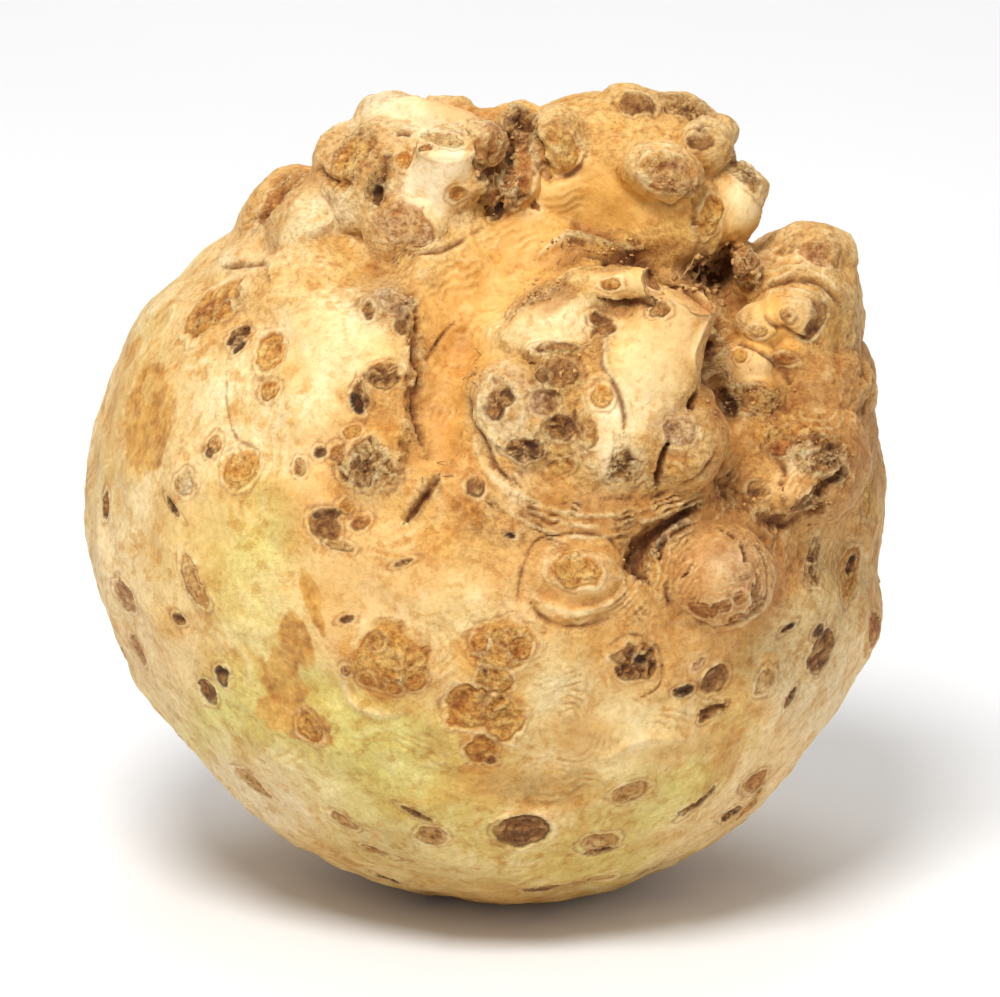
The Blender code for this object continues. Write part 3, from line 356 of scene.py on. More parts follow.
# Scars: kind, tone, then across, down, half sizes and turn of each.
SCARS = (
    ("rough", "orange", (
        (214, 303, 5.4, 3.9, 24), (560, 467, 2, 1.3, 30), (348, 160, 4.6, 3, 40), (558, 150, 3.2, 3.6),
        (650, 168, 2.2, 1.8), (712, 212, 1.8, 3.4, -16), (756, 334, 1.5, 1.1), (868, 500, 1.8, 4, 8),
        (571, 567, 3.8, 2.4, -4), (388, 658, 6, 5.5), (496, 648, 4.8, 3.7), (609, 287, 1.6, 0.9),
        (490, 678, 2.8, 2.2), (467, 708, 3.2, 3), (508, 720, 3, 3.2, 20), (484, 748, 2, 2.4),
    )),
    ("rough", "rust", (
        (652, 284, 1, 1.9), (337, 452, 1.4, 1.5, 20), (360, 522, 1.7, 1, 30), (498, 200, 2, 2.2),
        (424, 151, 0.9, 0.5), (452, 140, 0.8, 0.4, -20), (488, 155, 1.9, 1.9), (270, 205, 5, 2, 42),
        (673, 183, 2.8, 2, -8), (520, 170, 2, 4, -10), (785, 361, 1.8, 1.2), (757, 785, 2.6, 2.2, -45),
        (874, 632, 2, 4.6), (744, 266, 1.7, 2.4), (775, 446, 1.6, 1.2, 20), (739, 599, 1.1, 1.2),
        (720, 607, 1.4, 1.1, 20), (757, 589, 1, 1.7, -20), (752, 611, 1.4, 1.8, -30), (736, 620, 1.2, 0.9),
        (701, 613, 2, 1.4),
    )),
    ("rough", "brown", (
        (209, 690, 1.6, 2.3), (602, 328, 2, 2.5, -10), (655, 312, 1.9, 1.2), (563, 372, 2.4, 2),
        (556, 349, 3.2, 0.9, 4), (520, 120, 2.2, 2.2), (703, 145, 2, 1.6), (817, 318, 1.9, 2.8, -20),
        (756, 600, 1.2, 3.2, 20), (712, 713, 2.2, 0.8, 20), (695, 803, 3.2, 0.9, 34),
        (821, 652, 2.6, 4, -8), (545, 889, 3, 1.1), (323, 527, 2.5, 2.1), (636, 105, 2.6, 1.7),
        (745, 574, 0.9, 0.6),
    )),
    ("rough", "tan", (
        (300, 467, 0.8, 1.1), (340, 548, 2.2, 0.9, -10), (591, 348, 1.2, 1.4), (540, 290, 4.2, 1.4, 20),
        (585, 435, 1.5, 2.4), (752, 400, 3, 2.2), (430, 836, 2.3, 1.7, 10), (375, 853, 2.6, 0.8),
        (650, 870, 2.6, 1, 20), (765, 682, 2.2, 2.4), (783, 246, 2.4, 1.4, 10),
    )),
    ("rough", "cream", ((795, 456, 1.4, 2), (186, 482, 2.2, 1.8), (444, 145, 3.1, 1.5, -20))),
    ("rough", "pink", (
        (404, 227, 4.2, 3.4, 8), (822, 256, 3.2, 2.2), (123, 597, 3.2, 2.4), (135, 650, 2.2, 1.6, -30),
        (700, 665, 1.4, 0.8, 30),
    )),
    ("rough", "mauve", ((395, 305, 2.2, 1.6), (543, 403, 1.9, 1.7), (674, 432, 2.2, 2))),
    ("disc", "bark", ((524, 831, 4.3, 3.1),)),
    ("disc", "orange", ((849, 577, 2.8, 4.2, -20), (752, 808, 1.8, 3.4, -45))),
    ("fibre", "straw", (
        (369, 468, 3.8, 3.3, 10), (746, 168, 3.2, 1.5, -38), (829, 461, 2.8, 1.8, 20), (811, 562, 1.8, 3.2),
        (624, 470, 2.6, 2.9, -10), (378, 182, 1.3, 3.4, -8), (686, 112, 3.4, 1.8, -30),
    )),
    ("fibre", "brown", (
        (496, 402, 2.2, 2.5, 10), (560, 432, 2, 1.9), (524, 455, 2.5, 1.9), (388, 374, 2.4, 2.2),
        (815, 497, 4.2, 1.4, 35), (630, 669, 3.5, 2.9), (822, 442, 2.6, 1.5), (358, 470, 1.6, 2.4, 20),
        (240, 337, 1.9, 1.6, 30), (359, 397, 1.4, 2.5, 30), (731, 816, 2.4, 1.5, -50),
        (790, 700, 1.8, 1.2, 30),
    )),
    ("ring", "orange", (
        (222, 310, 1.5, 1.4), (203, 314, 1.1, 1), (273, 354, 2.7, 3.7), (271, 391, 1.9, 1.4),
        (243, 469, 3.1, 3), (306, 726, 2.4, 2.4), (599, 396, 1.6, 1.9, -16), (405, 165, 1.2, 1.3),
        (785, 319, 1.2, 1, -20), (736, 357, 1, 1), (415, 678, 1.5, 1.5), (518, 648, 1.6, 1.6),
        (478, 644, 1.3, 1.4), (347, 508, 1.3, 1.1), (368, 680, 1.3, 1.2), (505, 640, 1.1, 1.1),
        (497, 700, 1.2, 1), (350, 432, 1.3, 0.9), (376, 642, 1.1, 1), (394, 688, 1, 0.9),
        (460, 198, 1.2, 1.2),
    )),
    ("ring", "tan", (
        (216, 442, 1.3, 1.4, -20), (196, 585, 1.9, 4.4, 34), (250, 785, 3.4, 1.6, -33),
        (601, 842, 3.2, 2.2), (590, 878, 3.4, 1.5), (632, 793, 2.8, 2), (160, 770, 2, 1.2, -40),
        (345, 820, 2.4, 1.4, -20),
    )),
    ("ring", "mauve", ((383, 290, 1, 1), (403, 315, 1.1, 1))),
    ("ring", "brown", (
        (405, 328, 1.1, 1.1), (475, 489, 1.5, 1.5), (716, 680, 2.4, 2.2), (596, 318, 1, 1),
        (538, 378, 1.1, 1),
    )),
    ("slit", "brown", (
        (176, 507, 2.2, 0.5, -36), (405, 560, 1.4, 0.4, 20), (599, 852, 2.6, 0.4, -8),
        (416, 812, 2.5, 0.7, -20), (483, 673, 1.3, 0.4, -70),
    )),
    ("pit", "rust", ((785, 320, 0.6, 0.5), (349, 667, 0.8, 0.9), (492, 761, 0.8, 0.8))),
    ("pit", "brown", (
        (319, 453, 0.9, 0.9), (102, 505, 1.2, 2), (179, 621, 1.2, 0.9), (369, 313, 1, 1.4),
        (754, 492, 1.7, 1.2), (348, 617, 1, 0.5, 20), (389, 878, 1.8, 0.8, -20),
    )),
    ("pit", "dark", (
        (211, 451, 0.7, 0.6), (224, 675, 1.4, 1.8), (356, 402, 0.8, 1.8, 30), (326, 516, 2, 0.8, 8),
        (507, 536, 0.9, 0.5), (376, 200, 0.8, 1.3), (495, 214, 0.9, 0.9), (485, 180, 1.1, 0.7),
        (507, 159, 0.9, 1.3), (729, 409, 1.2, 1.6), (838, 474, 1.7, 0.8, 40), (655, 545, 0.6, 1.5, -30),
        (641, 659, 1, 1), (682, 693, 1.7, 0.9), (815, 631, 1.2, 1.1), (788, 628, 1.2, 0.6, 20),
        (852, 566, 0.9, 1.5, -20), (239, 347, 1.3, 0.6, 25),
    )),
)

# What each kind of scar does: how deep its floor sinks, how high its rim stands, how rough its floor is,
# how dark its middle (in pits and slits partly painted shade in the hole) and its outline are, its number
# of rings, and how uneven its edge is.
KINDS = {
    "rough": (0.25, 0.18, 0.60, 0.00, 0.55, 0, 0.20),
    "disc": (0.35, 0.30, 0.45, 0.00, 0.90, 3, 0.05),
    "pit": (0.95, 0.20, 0.60, 0.55, 0.60, 0, 0.18),
    "ring": (0.16, 0.26, 0.22, 0.00, 0.75, 2, 0.14),
    "fibre": (0.35, 0.12, 0.90, 0.20, 0.45, 0, 0.26),
    "slit": (0.55, 0.18, 0.30, 0.60, 0.40, 0, 0.15),
}
SCAR_REACH = 2.3        # how far, in its own sizes, a scar's rings reach
HALO_SPACING = 1.15     # between these rings
OUTLINE_WIDTH = 0.21    # of the thin brown lines round a scar

# Ragged patches in the skin's colour: cells per metre, where the noise begins and is full, and what the
# colour is multiplied by there.
RAGGED_PATCHES = (
    (130.0, 0.53, 0.60, (0.91, 0.82, 0.66, 1.0)),
    (130.0, 0.47, 0.40, (1.09, 1.13, 1.24, 1.0)),
    (400.0, 0.55, 0.62, (0.86, 0.73, 0.54, 1.0)),
    (400.0, 0.45, 0.38, (1.07, 1.10, 1.18, 1.0)),
)

# Creases: width, depth, how dark their bottom is (soil, and painted shade in the groove), and the points
# they pass.
CREASES = (
    (0.55, 1.3, 0.9, ((414, 298), (421, 332), (415, 356), (420, 378), (416, 404), (418, 430), (427, 461))),
    (0.45, 0.7, 0.7, ((456, 322), (438, 342), (423, 368))),
    (0.7, 1.5, 0.9, ((440, 474), (424, 498), (403, 524))),
    (0.45, 0.7, 0.7, ((666, 552), (668, 600), (698, 628), (738, 624), (762, 598), (765, 558), (744, 530))),
    (0.6, 0.9, 0.9, ((808, 428), (826, 446), (844, 450))),
    (0.6, 1, 0.9, ((840, 470), (828, 486), (812, 502))),
    (0.5, 0.8, 0.8, ((768, 452), (780, 470), (776, 486))),
    (1.2, 2.4, 0.8, ((515, 100), (527, 138), (548, 182))),
    (1.3, 2, 0.9, ((487, 186), (491, 200), (498, 218))),
    (1.1, 2.2, 0.9, ((503, 132), (507, 160))),
    (1.5, 2.6, 0.9, ((704, 288), (714, 318), (706, 350), (706, 376), (724, 400), (730, 416))),
    (1.2, 1.4, 0.9, ((742, 252), (720, 261), (700, 270), (690, 282))),
    (1, 1, 0.5, ((560, 268), (600, 256), (640, 262), (662, 278))),
    (0.5, 1.5, 1, ((596, 302), (620, 308), (643, 306), (655, 298))),
    (0.7, 1.6, 0.8, ((584, 272), (606, 259), (632, 259), (654, 270))),
    (1.1, 2.6, 1, ((700, 509), (664, 527), (641, 547), (636, 568), (648, 584))),
    (0.6, 1, 0.7, ((690, 522), (664, 538), (654, 558))),
    (0.6, 1.8, 1, ((667, 443), (660, 468), (656, 491))),
    (0.7, 1.8, 1, ((698, 389), (687, 411))),
    (0.4, 0.7, 0.8, ((474, 372), (469, 413), (478, 441), (497, 468), (520, 487))),
    (0.5, 0.7, 0.6, ((600, 500), (660, 496), (698, 474), (717, 450))),
    (0.5, 0.7, 0.6, ((599, 344), (600, 366), (612, 380), (622, 413), (624, 434))),
    (0.5, 0.9, 0.8, ((754, 303), (769, 322), (786, 335), (814, 349))),
    (0.5, 0.9, 0.8, ((733, 342), (761, 352), (780, 371), (786, 386))),
    (1, 1.4, 0.9, ((744, 508), (782, 526), (810, 515), (823, 491), (840, 478))),
    (0.6, 0.9, 0.7, ((746, 304), (776, 284), (797, 280), (829, 290), (840, 308))),
    (1.2, 1.8, 0.8, ((386, 156), (379, 182), (372, 206))),
    (0.6, 1, 0.6, ((404, 258), (444, 250), (487, 227))),
    (0.8, 1.2, 0.5, ((316, 172), (330, 184), (352, 186))),
    (0.7, 1.2, 0.7, ((250, 220), (272, 210), (299, 194))),
    (0.6, 0.9, 0.7, ((222, 266), (258, 262), (272, 282))),
    (0.7, 1.3, 0.9, ((464, 146), (474, 166), (488, 174), (502, 171))),
    (0.6, 0.9, 0.7, ((392, 134), (406, 136), (418, 134))),
    (0.7, 1, 0.5, ((696, 182), (690, 204), (694, 232))),
    (0.6, 0.9, 0.8, ((690, 134), (698, 126), (716, 126))),
    (0.6, 0.9, 0.6, ((640, 196), (668, 206), (690, 196), (702, 178))),
    (0.6, 0.8, 0.6, ((532, 166), (548, 180), (576, 176), (588, 156))),
    (0.6, 0.9, 0.8, ((698, 717), (728, 706))),
    (0.6, 0.9, 0.7, ((676, 815), (713, 790))),
    (0.6, 0.7, 0.3, ((526, 600), (545, 620), (575, 628), (610, 618))),
    (0.8, 1.1, 0.6, ((856, 335), (862, 372), (864, 420))),
    (0.35, 0.4, 0.20, ((228, 370), (226, 406), (231, 426), (239, 439), (256, 449))),
    (0.4, 0.4, 0.25, ((606, 646), (632, 634), (660, 652), (658, 684), (634, 698))),
    (0.5, 0.7, 0.7, ((660, 284), (688, 296), (710, 315))),
    (0.4, 0.5, 0.6, ((575, 395), (572, 425), (580, 465))),
    (0.35, 0.6, 0.9, ((686, 564), (683, 572), (681, 580))),
    (0.35, 0.5, 0.8, ((717, 526), (726, 531), (734, 537))),
    (0.45, 0.7, 0.8, ((741, 541), (745, 552), (742, 563))),
    (0.4, 0.5, 0.45, ((516, 600), (522, 562), (545, 538), (600, 537), (622, 556))),
)

# Folds of skin, raised a little: width, height, and the points they pass.
FOLDS = (
    (1, 0.7, ((309, 240), (322, 226), (344, 221))),
    (1.3, 1.3, ((530, 262), (552, 246), (580, 238), (612, 246), (642, 252))),
    (1, 0.6, ((332, 226), (352, 242), (372, 262))),
    (0.7, 0.5, ((466, 400), (474, 450), (500, 484), (550, 508), (600, 516), (654, 508))),
    (0.5, 0.4, ((476, 470), (520, 504), (580, 522), (650, 518), (700, 490))),
    (0.5, 0.35, ((480, 488), (530, 524), (590, 536), (640, 528))),
    (0.6, 0.5, ((744, 299), (776, 277), (798, 272), (830, 283), (842, 302))),
    (0.5, 0.4, ((740, 292), (772, 271), (800, 266), (834, 276))),
    (0.5, 0.4, ((750, 310), (766, 296), (790, 290), (820, 300))),
    (1.1, 0.8, ((528, 588), (545, 604), (580, 612), (616, 596), (624, 576))),
    (0.8, 0.5, ((270, 228), (290, 212), (308, 190))),
    (0.8, 0.5, ((862, 340), (870, 380), (874, 430))),
    (1.2, 0.6, ((600, 760), (640, 740), (690, 740))),
    (1, 0.5, ((350, 640), (346, 690), (376, 712), (420, 706))),
    (1, 0.6, ((500, 856), (524, 862), (550, 854))),
    (0.8, 0.7, ((484, 378), (480, 410), (488, 438), (506, 452))),
    (0.6, 0.6, ((498, 374), (512, 392), (518, 420), (512, 440))),
    (0.6, 0.6, ((520, 400), (534, 386), (554, 390), (562, 412))),
    (0.6, 0.6, ((528, 442), (540, 424), (556, 416))),
    (0.8, 1, ((672, 286), (692, 294), (713, 310))),
    (0.8, 0.6, ((712, 314), (704, 328), (694, 342), (691, 366), (698, 386))),
    (0.6, 0.6, ((612, 432), (606, 455), (604, 482))),
    (0.6, 0.4, ((585, 400), (580, 430), (588, 470))),
    (0.5, 0.5, ((416, 150), (436, 160), (466, 162))),
    (0.8, 0.8, ((728, 154), (744, 166), (766, 186))),
    (0.6, 0.8, ((697, 514), (666, 531), (649, 551), (646, 570))),
    (0.7, 0.6, ((610, 334), (604, 350), (606, 370), (618, 388))),
)

# Bands of fine wrinkles that run along a line: half width, spacing, height, and the points they follow.
WRINKLES = (
    (9, 1.5, 0.17, ((420, 290), (470, 262), (540, 228), (600, 208))),
    (6, 1.2, 0.20, ((550, 282), (500, 320), (460, 370), (436, 430))),
    (5, 0.9, 0.46, ((466, 380), (470, 440), (500, 488), (560, 518), (640, 520), (710, 490))),
    (4, 1, 0.24, ((744, 300), (776, 278), (806, 276), (838, 300))),
    (5, 1.1, 0.22, ((858, 320), (866, 370), (868, 430))),
    (4, 1.1, 0.24, ((640, 500), (650, 540), (640, 590), (660, 630))),
    (3.6, 1.1, 0.20, ((530, 600), (560, 622), (610, 616), (640, 590))),
    (6, 1.4, 0.14, ((380, 740), (450, 770), (540, 790), (620, 770))),
    (3, 0.9, 0.20, ((400, 262), (450, 252), (490, 230))),
    (6, 0.8, 0.24, ((672, 560), (700, 535), (740, 545), (758, 580))),
    (4, 0.8, 0.20, ((680, 600), (700, 575), (740, 570))),
    (5, 0.9, 0.30, ((560, 500), (620, 524), (700, 505), (730, 460))),
    (4, 0.9, 0.24, ((840, 430), (820, 460), (790, 500))),
    (5, 1.3, 0.16, ((760, 640), (800, 700), (790, 760))),
    (5, 1.1, 0.20, ((240, 230), (280, 205), (310, 180))),
    (4, 1.1, 0.20, ((310, 260), (350, 270), (395, 275))),
    (5, 1.1, 0.18, ((540, 700), (580, 690), (600, 720), (580, 750), (540, 750))),
    (4, 1, 0.20, ((850, 440), (862, 500), (858, 560))),
    (4, 1.1, 0.18, ((600, 640), (650, 700), (720, 720))),
)

# Smooth skin: strength, then across, down, half sizes and turn of each area.
SMOOTH = (
    (1, (
        (654, 352, 7.4, 10, -10), (440, 182, 4.8, 8, 8), (418, 112, 8, 2.8, -12), (618, 283, 5.4, 2.6, 5),
        (776, 321, 4.6, 3.2, -28), (753, 362, 4.6, 3, -28), (745, 212, 3.8, 5.4), (610, 206, 11, 4.4, 5),
        (580, 196, 7, 5), (512, 248, 6, 4.4, 30), (470, 300, 5, 6, 40),
    )),
    (0.8, (
        (545, 322, 6.6, 4, 16), (602, 430, 2, 7, 6), (500, 262, 12, 6, 28), (320, 345, 9, 7),
        (545, 218, 6, 3, 20), (462, 330, 5, 8, 30), (446, 400, 3.4, 9), (632, 400, 6, 6),
        (784, 488, 3, 3.4), (790, 250, 3.4, 2.2),
    )),
    (0.5, (
        (440, 590, 8, 4), (340, 595, 6, 6), (300, 500, 6, 5), (570, 600, 6, 1.8), (620, 730, 9, 6),
        (470, 480, 3, 4), (320, 430, 6, 6), (200, 540, 6, 6), (714, 572, 6, 6.4),
    )),
)

# Crumbly, cracked skin, in the same form.
CRUMBLY = (
    (1, (
        (570, 244, 6, 1.8, 22), (618, 249, 6, 1.6, -4), (540, 294, 6, 2.6, 20), (505, 185, 4, 6),
        (745, 266, 3, 4), (755, 400, 5, 3.6), (705, 276, 5, 5), (718, 340, 3, 9), (515, 130, 4, 5),
    )),
    (0.8, (
        (690, 112, 6, 4, -30), (350, 155, 7, 5, 40), (800, 510, 9, 3, 20), (280, 200, 9, 4, 42),
        (815, 450, 6.5, 6), (780, 440, 6, 4), (735, 500, 6, 4), (414, 330, 2, 6), (412, 420, 2, 10),
    )),
    (0.5, (
        (560, 148, 4, 5), (660, 180, 6, 4, -10), (812, 256, 6, 3.6), (500, 515, 8, 5, -20),
        (640, 560, 5, 7, 20), (560, 370, 7, 6), (540, 446, 8, 5), (630, 480, 7, 3.6), (690, 446, 4.6, 5),
        (392, 300, 5, 4), (370, 460, 6, 6), (610, 290, 6, 3), (860, 380, 5, 10), (800, 560, 6, 6),
        (230, 300, 5, 3.4, 20), (785, 420, 8, 4), (470, 210, 4, 4),
    )),
)

# Root hairs: where a tuft grows, how many, their length, and the way they lean across and up.
HAIRS = (
    ((700, 276), 12, 5, (-0.3, 0.6)), ((829, 461), 9, 3.2, (0.8, 0.3)), ((622, 470), 9, 2.6, (0.2, 0.5)),
    ((405, 252), 8, 2.4, (-0.2, -0.6)), ((500, 186), 8, 4, (0.5, 0.4)), ((378, 182), 8, 3.4, (-0.5, 0.3)),
    ((724, 408), 6, 2.6, (0.4, -0.3)), ((640, 550), 6, 3, (-0.5, -0.3)), ((365, 470), 10, 2.2, (0, 0.5)),
    ((440, 466), 7, 3.6, (0.6, -0.8)), ((516, 130), 6, 3.2, (0.3, 0.8)), ((745, 268), 5, 2.4, (-0.5, 0.3)),
    ((812, 500), 8, 3.2, (0.4, -0.6)), ((686, 110), 5, 2.4, (-0.4, 0.7)), ((560, 262), 6, 3, (0.7, 0.1)),
    ((811, 560), 6, 2.6, (0.3, -0.6)), ((478, 372), 6, 2.4, (-0.4, 0.2)),
)

# Crumbs of soil and flakes of skin: middle, half sizes of the area, how many, and largest radius.
CRUMBS = (
    ((562, 246), (4, 1), 20, 0.36), ((612, 250), (4.4, 0.7), 24, 0.36), ((540, 294), (5, 2), 30, 0.40),
    ((505, 198), (3.2, 4), 26, 0.60), ((516, 130), (3, 4.4), 18, 0.5), ((704, 276), (4.4, 3.2), 34, 0.9),
    ((755, 400), (5, 3.6), 30, 0.45), ((744, 268), (2, 3), 14, 0.6), ((800, 508), (8, 2.2), 22, 0.5),
    ((476, 374), (0.8, 3.2), 12, 0.4), ((414, 300), (1.6, 1.2), 9, 0.5), ((414, 340), (1.2, 1.2), 6, 0.5),
    ((626, 310), (3.4, 0.9), 12, 0.4), ((350, 150), (5, 3.4), 20, 0.45), ((660, 184), (5, 2.6), 18, 0.45),
    ((720, 405), (2, 2.6), 14, 0.5), ((640, 556), (2.2, 4), 14, 0.45), ((560, 372), (5, 3.4), 16, 0.4),
    ((812, 452), (5, 4.4), 20, 0.45),
)

HAIR_STEPS = 7
HAIR_SIDES = 5
HAIR_RADII = (0.09, 0.20)
HAIR_THINNING = 0.75            # share of its radius that a hair loses towards its end
HAIR_LENGTHS = (0.5, 1.1)       # shares of the tuft's length
HAIR_SINK = 0.5                 # how deep a hair starts in the skin
HAIR_RISE, HAIR_SPREAD = 0.7, 0.35      # how strongly it starts away from the skin, and any way
HAIR_DROOP, HAIR_WANDER = 0.12, 0.22    # how much each step bends it to the skin, and any way
TUFT_SPREAD = 7.0               # pixels
CRUMB_RADII = (0.25, 0.75)      # shares of the largest radius
CRUMB_STRETCHES = (0.6, 1.3)
CRUMB_LUMPS, CRUMB_LUMP_SIZE = 0.8, 0.6     # height and wavelength, as shares of its radius
CRUMB_RISE = 0.15               # how far out its middle lies, as a share of its radius
PATH_STEP = 0.8                 # between the points of a smooth curve

# The map that textures are baked on: what a side of the cube fills of its cell, from the middle to the
# edge; how far past that edge, at 1, a face may reach; and the cells across and up.
MAP_HALF = 0.47
MAP_REACH = 1.4
MAP_CELLS = (3, 2)

# What mixes a lattice corner's number into noise.
HASH_STEPS = (73856093, 19349663, 83492791)
HASH_SEED = 2654435761
HASH_ROUNDS = ((13, 1274126177), (16, 2246822519))
HASH_MASK = 0xFFFFFFFF
HASH_HALF = 0x7FFFFFFF

EVERYWHERE = slice(None)
TINY = 1e-9


def at(place, depth=0.0):
    """A place in the picture, as a point in the viewer's frame."""
    across, down = place
    return np.array(((across - PICTURE_MIDDLE[0]) * PIXEL, (PICTURE_MIDDLE[1] - down) * PIXEL, depth))


def outline_radius(angles):
    """The globe's radius in the picture, for clock angles in degrees."""
    corners = np.array(GLOBE_OUTLINE + ((360 + GLOBE_OUTLINE[0][0], GLOBE_OUTLINE[0][1]),))
    angles = np.mod(angles, 360)
    after = np.clip(np.searchsorted(corners[:, 0], angles, side="right"), 1, len(corners) - 1)
    start, end = corners[after - 1], corners[after]
    share = smooth_step(angles, start[:, 0], end[:, 0])
    return start[:, 1] * (1 - share) + end[:, 1] * share


def globe_radius(directions):
    """The globe's radius along unit directions."""
    across = np.hypot(directions[:, 0], directions[:, 1])
    rim = outline_radius(np.degrees(np.arctan2(directions[:, 1], directions[:, 0])))
    depth = np.where(directions[:, 2] > 0, FRONT_DEPTH, BACK_DEPTH)
    return 1 / np.sqrt((across / rim) ** 2 + (directions[:, 2] / depth) ** 2)


def add_globe(bm):
    """The globe, as an icosphere pushed out to its outline."""
    made = bmesh.ops.create_icosphere(bm, subdivisions=6, radius=1.0)["verts"]
    directions = np.array([vert.co.normalized() for vert in made])
    for vert, radius in zip(made, globe_radius(directions), strict=True):
        vert.co = vert.co.normalized() * float(radius)


def add_lobe(bm, place, depth, half_sizes, turn=0):
    """An ellipsoid lobe or knob."""
    move = Matrix.Translation(at(place, depth)) @ Matrix.Rotation(math.radians(turn), 4, "Z")
    stretch = Matrix.Diagonal((*half_sizes, 1.0))
    bmesh.ops.create_icosphere(bm, subdivisions=4, radius=1.0, matrix=move @ stretch)


def add_root(bm, start, start_depth, start_radius, end, end_depth, end_radius, allowance=0.0):
    """A tapered stretch of root with round ends, or a stub whose end reaches past where it is cut."""
    root = Vector(at(start, start_depth))
    along = Vector(at(end, end_depth)) - root
    along.length += allowance
    tip = root + along
    turn = along.to_track_quat("Z", "Y").to_matrix().to_4x4()
    bmesh.ops.create_cone(
        bm, cap_ends=True, segments=32, radius1=start_radius, radius2=end_radius,
        depth=along.length, matrix=Matrix.Translation((root + tip) / 2) @ turn,
    )
    bmesh.ops.create_icosphere(bm, subdivisions=3, radius=start_radius, matrix=Matrix.Translation(root))
    if not allowance:
        bmesh.ops.create_icosphere(bm, subdivisions=3, radius=end_radius, matrix=Matrix.Translation(tip))


def bake_modifiers(thing):
    """Replace an object's mesh by what its modifiers make of it."""
    evaluated = thing.evaluated_get(bpy.context.evaluated_depsgraph_get())
    made = bpy.data.meshes.new_from_object(evaluated)
    old = thing.data
    thing.modifiers.clear()
    thing.data = made
    bpy.data.meshes.remove(old)


def new_piece(name, bm):
    """An object made from a bmesh."""
    mesh = bpy.data.meshes.new(name)
    bm.to_mesh(mesh)
    bm.free()
    piece = bpy.data.objects.new(name, mesh)
    bpy.context.collection.objects.link(piece)
    return piece


def block_out():
    """The globe, lobes and stubs, fused and softened."""
    bm = bmesh.new()
    add_globe(bm)
    for lobe in LOBES:
        add_lobe(bm, *lobe)
    for ends in ROOTS:
        add_root(bm, *ends)
    for ends in STUBS:
        add_root(bm, *ends, allowance=CUT_ALLOWANCE)
    block = new_piece("celeriac_skin", bm)
    fuse = block.modifiers.new("fuse", "REMESH")
    fuse.mode = "VOXEL"
    fuse.voxel_size = BLOCK_VOXEL
    soften = block.modifiers.new("soften", "SMOOTH")
    soften.factor = 0.5
    soften.iterations = SOFTENING
    bake_modifiers(block)
    return block


def read(parts, what, width, kind=np.float32):
    """One property of all of a mesh's points, edges or faces, in rows."""
    flat = np.empty(len(parts) * width, kind)
    parts.foreach_get(what, flat)
    return flat.reshape(-1, width)


def read_points(mesh):
    """A mesh's vertices."""
    return read(mesh.vertices, "co", 3).astype(float)


def read_normals(mesh):
    """A mesh's vertex normals."""
    return read(mesh.vertex_normals, "vector", 3).astype(float)


def write_points(mesh, points):
    """Move a mesh's vertices."""
    mesh.vertices.foreach_set("co", points.astype(np.float32).ravel())
    mesh.update()


def read_edges(mesh):
    """A mesh's edges, as pairs of vertices."""
    return read(mesh.edges, "vertices", 2, np.int32)


def lattice_noise(points, wavelength, number):
    """Smooth noise from -1 to 1, the same for the same number."""
    scaled = points / wavelength
    cell = np.floor(scaled).astype(np.int64)
    share = eased(scaled - cell)
    total = np.zeros(len(points))
    for corner in range(8):
        step = np.array((corner & 1, corner >> 1 & 1, corner >> 2 & 1))
        key = (cell + step) @ np.array(HASH_STEPS) + (SEED + number) * HASH_SEED
        for shift, factor in HASH_ROUNDS:
            key = (key ^ (key >> shift)) * factor & HASH_MASK
        weight = np.prod(np.where(step, share, 1 - share), axis=1)
        total += weight * (key / HASH_HALF - 1)
    return total


def grain(points, wavelength, number):
    """Uneven noise, mostly from -1 to 1, with detail down to a quarter of its wavelength."""
    total = lattice_noise(points, wavelength, number)
    total += 0.6 * lattice_noise(points, wavelength / 2, number + 1)
    total += 0.4 * lattice_noise(points, wavelength / 4, number + 2)
    return 1.5 * total


def eased(share):
    """A share from 0 to 1, with a soft start and end."""
    return share * share * (3 - 2 * share)


def smooth_step(value, low, high):
    """A soft rise from 0 at one value to 1 at the other."""
    return eased(np.clip((value - low) / (high - low), 0, 1))


def relaxed(points, edges, weight, passes):
    """Points drawn towards the middle of their neighbours, pass after pass."""
    one, other = edges.T
    ends, others = np.concatenate((one, other)), np.concatenate((other, one))
    count = np.bincount(ends, minlength=len(points))[:, None]
    points = points.copy()
    for _ in range(passes):
        around = [np.bincount(ends, points[others, axis], len(points)) for axis in range(3)]
        points += weight * (np.stack(around, axis=1) / count - points)
    return points


def tangents(normal):
    """Two unit directions in the skin at a spot: the picture's right and up, laid onto it."""
    across = np.array((1.0, 0.0, 0.0)) - normal * normal[0]
    if across @ across < 0.02:
        across = np.array((0.0, 0.0, -1.0)) + normal * normal[2]
    across = across / np.linalg.norm(across)
    return across, np.cross(normal, across)


def smooth_path(corners):
    """Points close together on a smooth curve through corners (Catmull-Rom)."""
    padded = np.vstack((2 * corners[0] - corners[1], corners, 2 * corners[-1] - corners[-2]))
    path = []
    for before, start, end, after in zip(padded, padded[1:], padded[2:], padded[3:]):
        steps = max(2, int(np.linalg.norm(end - start) / PATH_STEP))
        for share in np.arange(steps)[:, None] / steps:
            bend = (2 * before - 5 * start + 4 * end - after) * share**2
            twist = (3 * start - 3 * end + after - before) * share**3
            path.append(start + 0.5 * ((end - before) * share + bend + twist))
    return np.array(path + [padded[-2]])


def tone_colours(tone, level):
    """A tone's colours for levels from -1, its low spots, to 1, its high ones."""
    low, middle, high = (np.array(colour, float) for colour in TONES[tone])
    level = np.clip(level, -1, 1)[:, None]
    return np.where(level < 0, middle + level * (middle - low), middle + level * (high - middle))


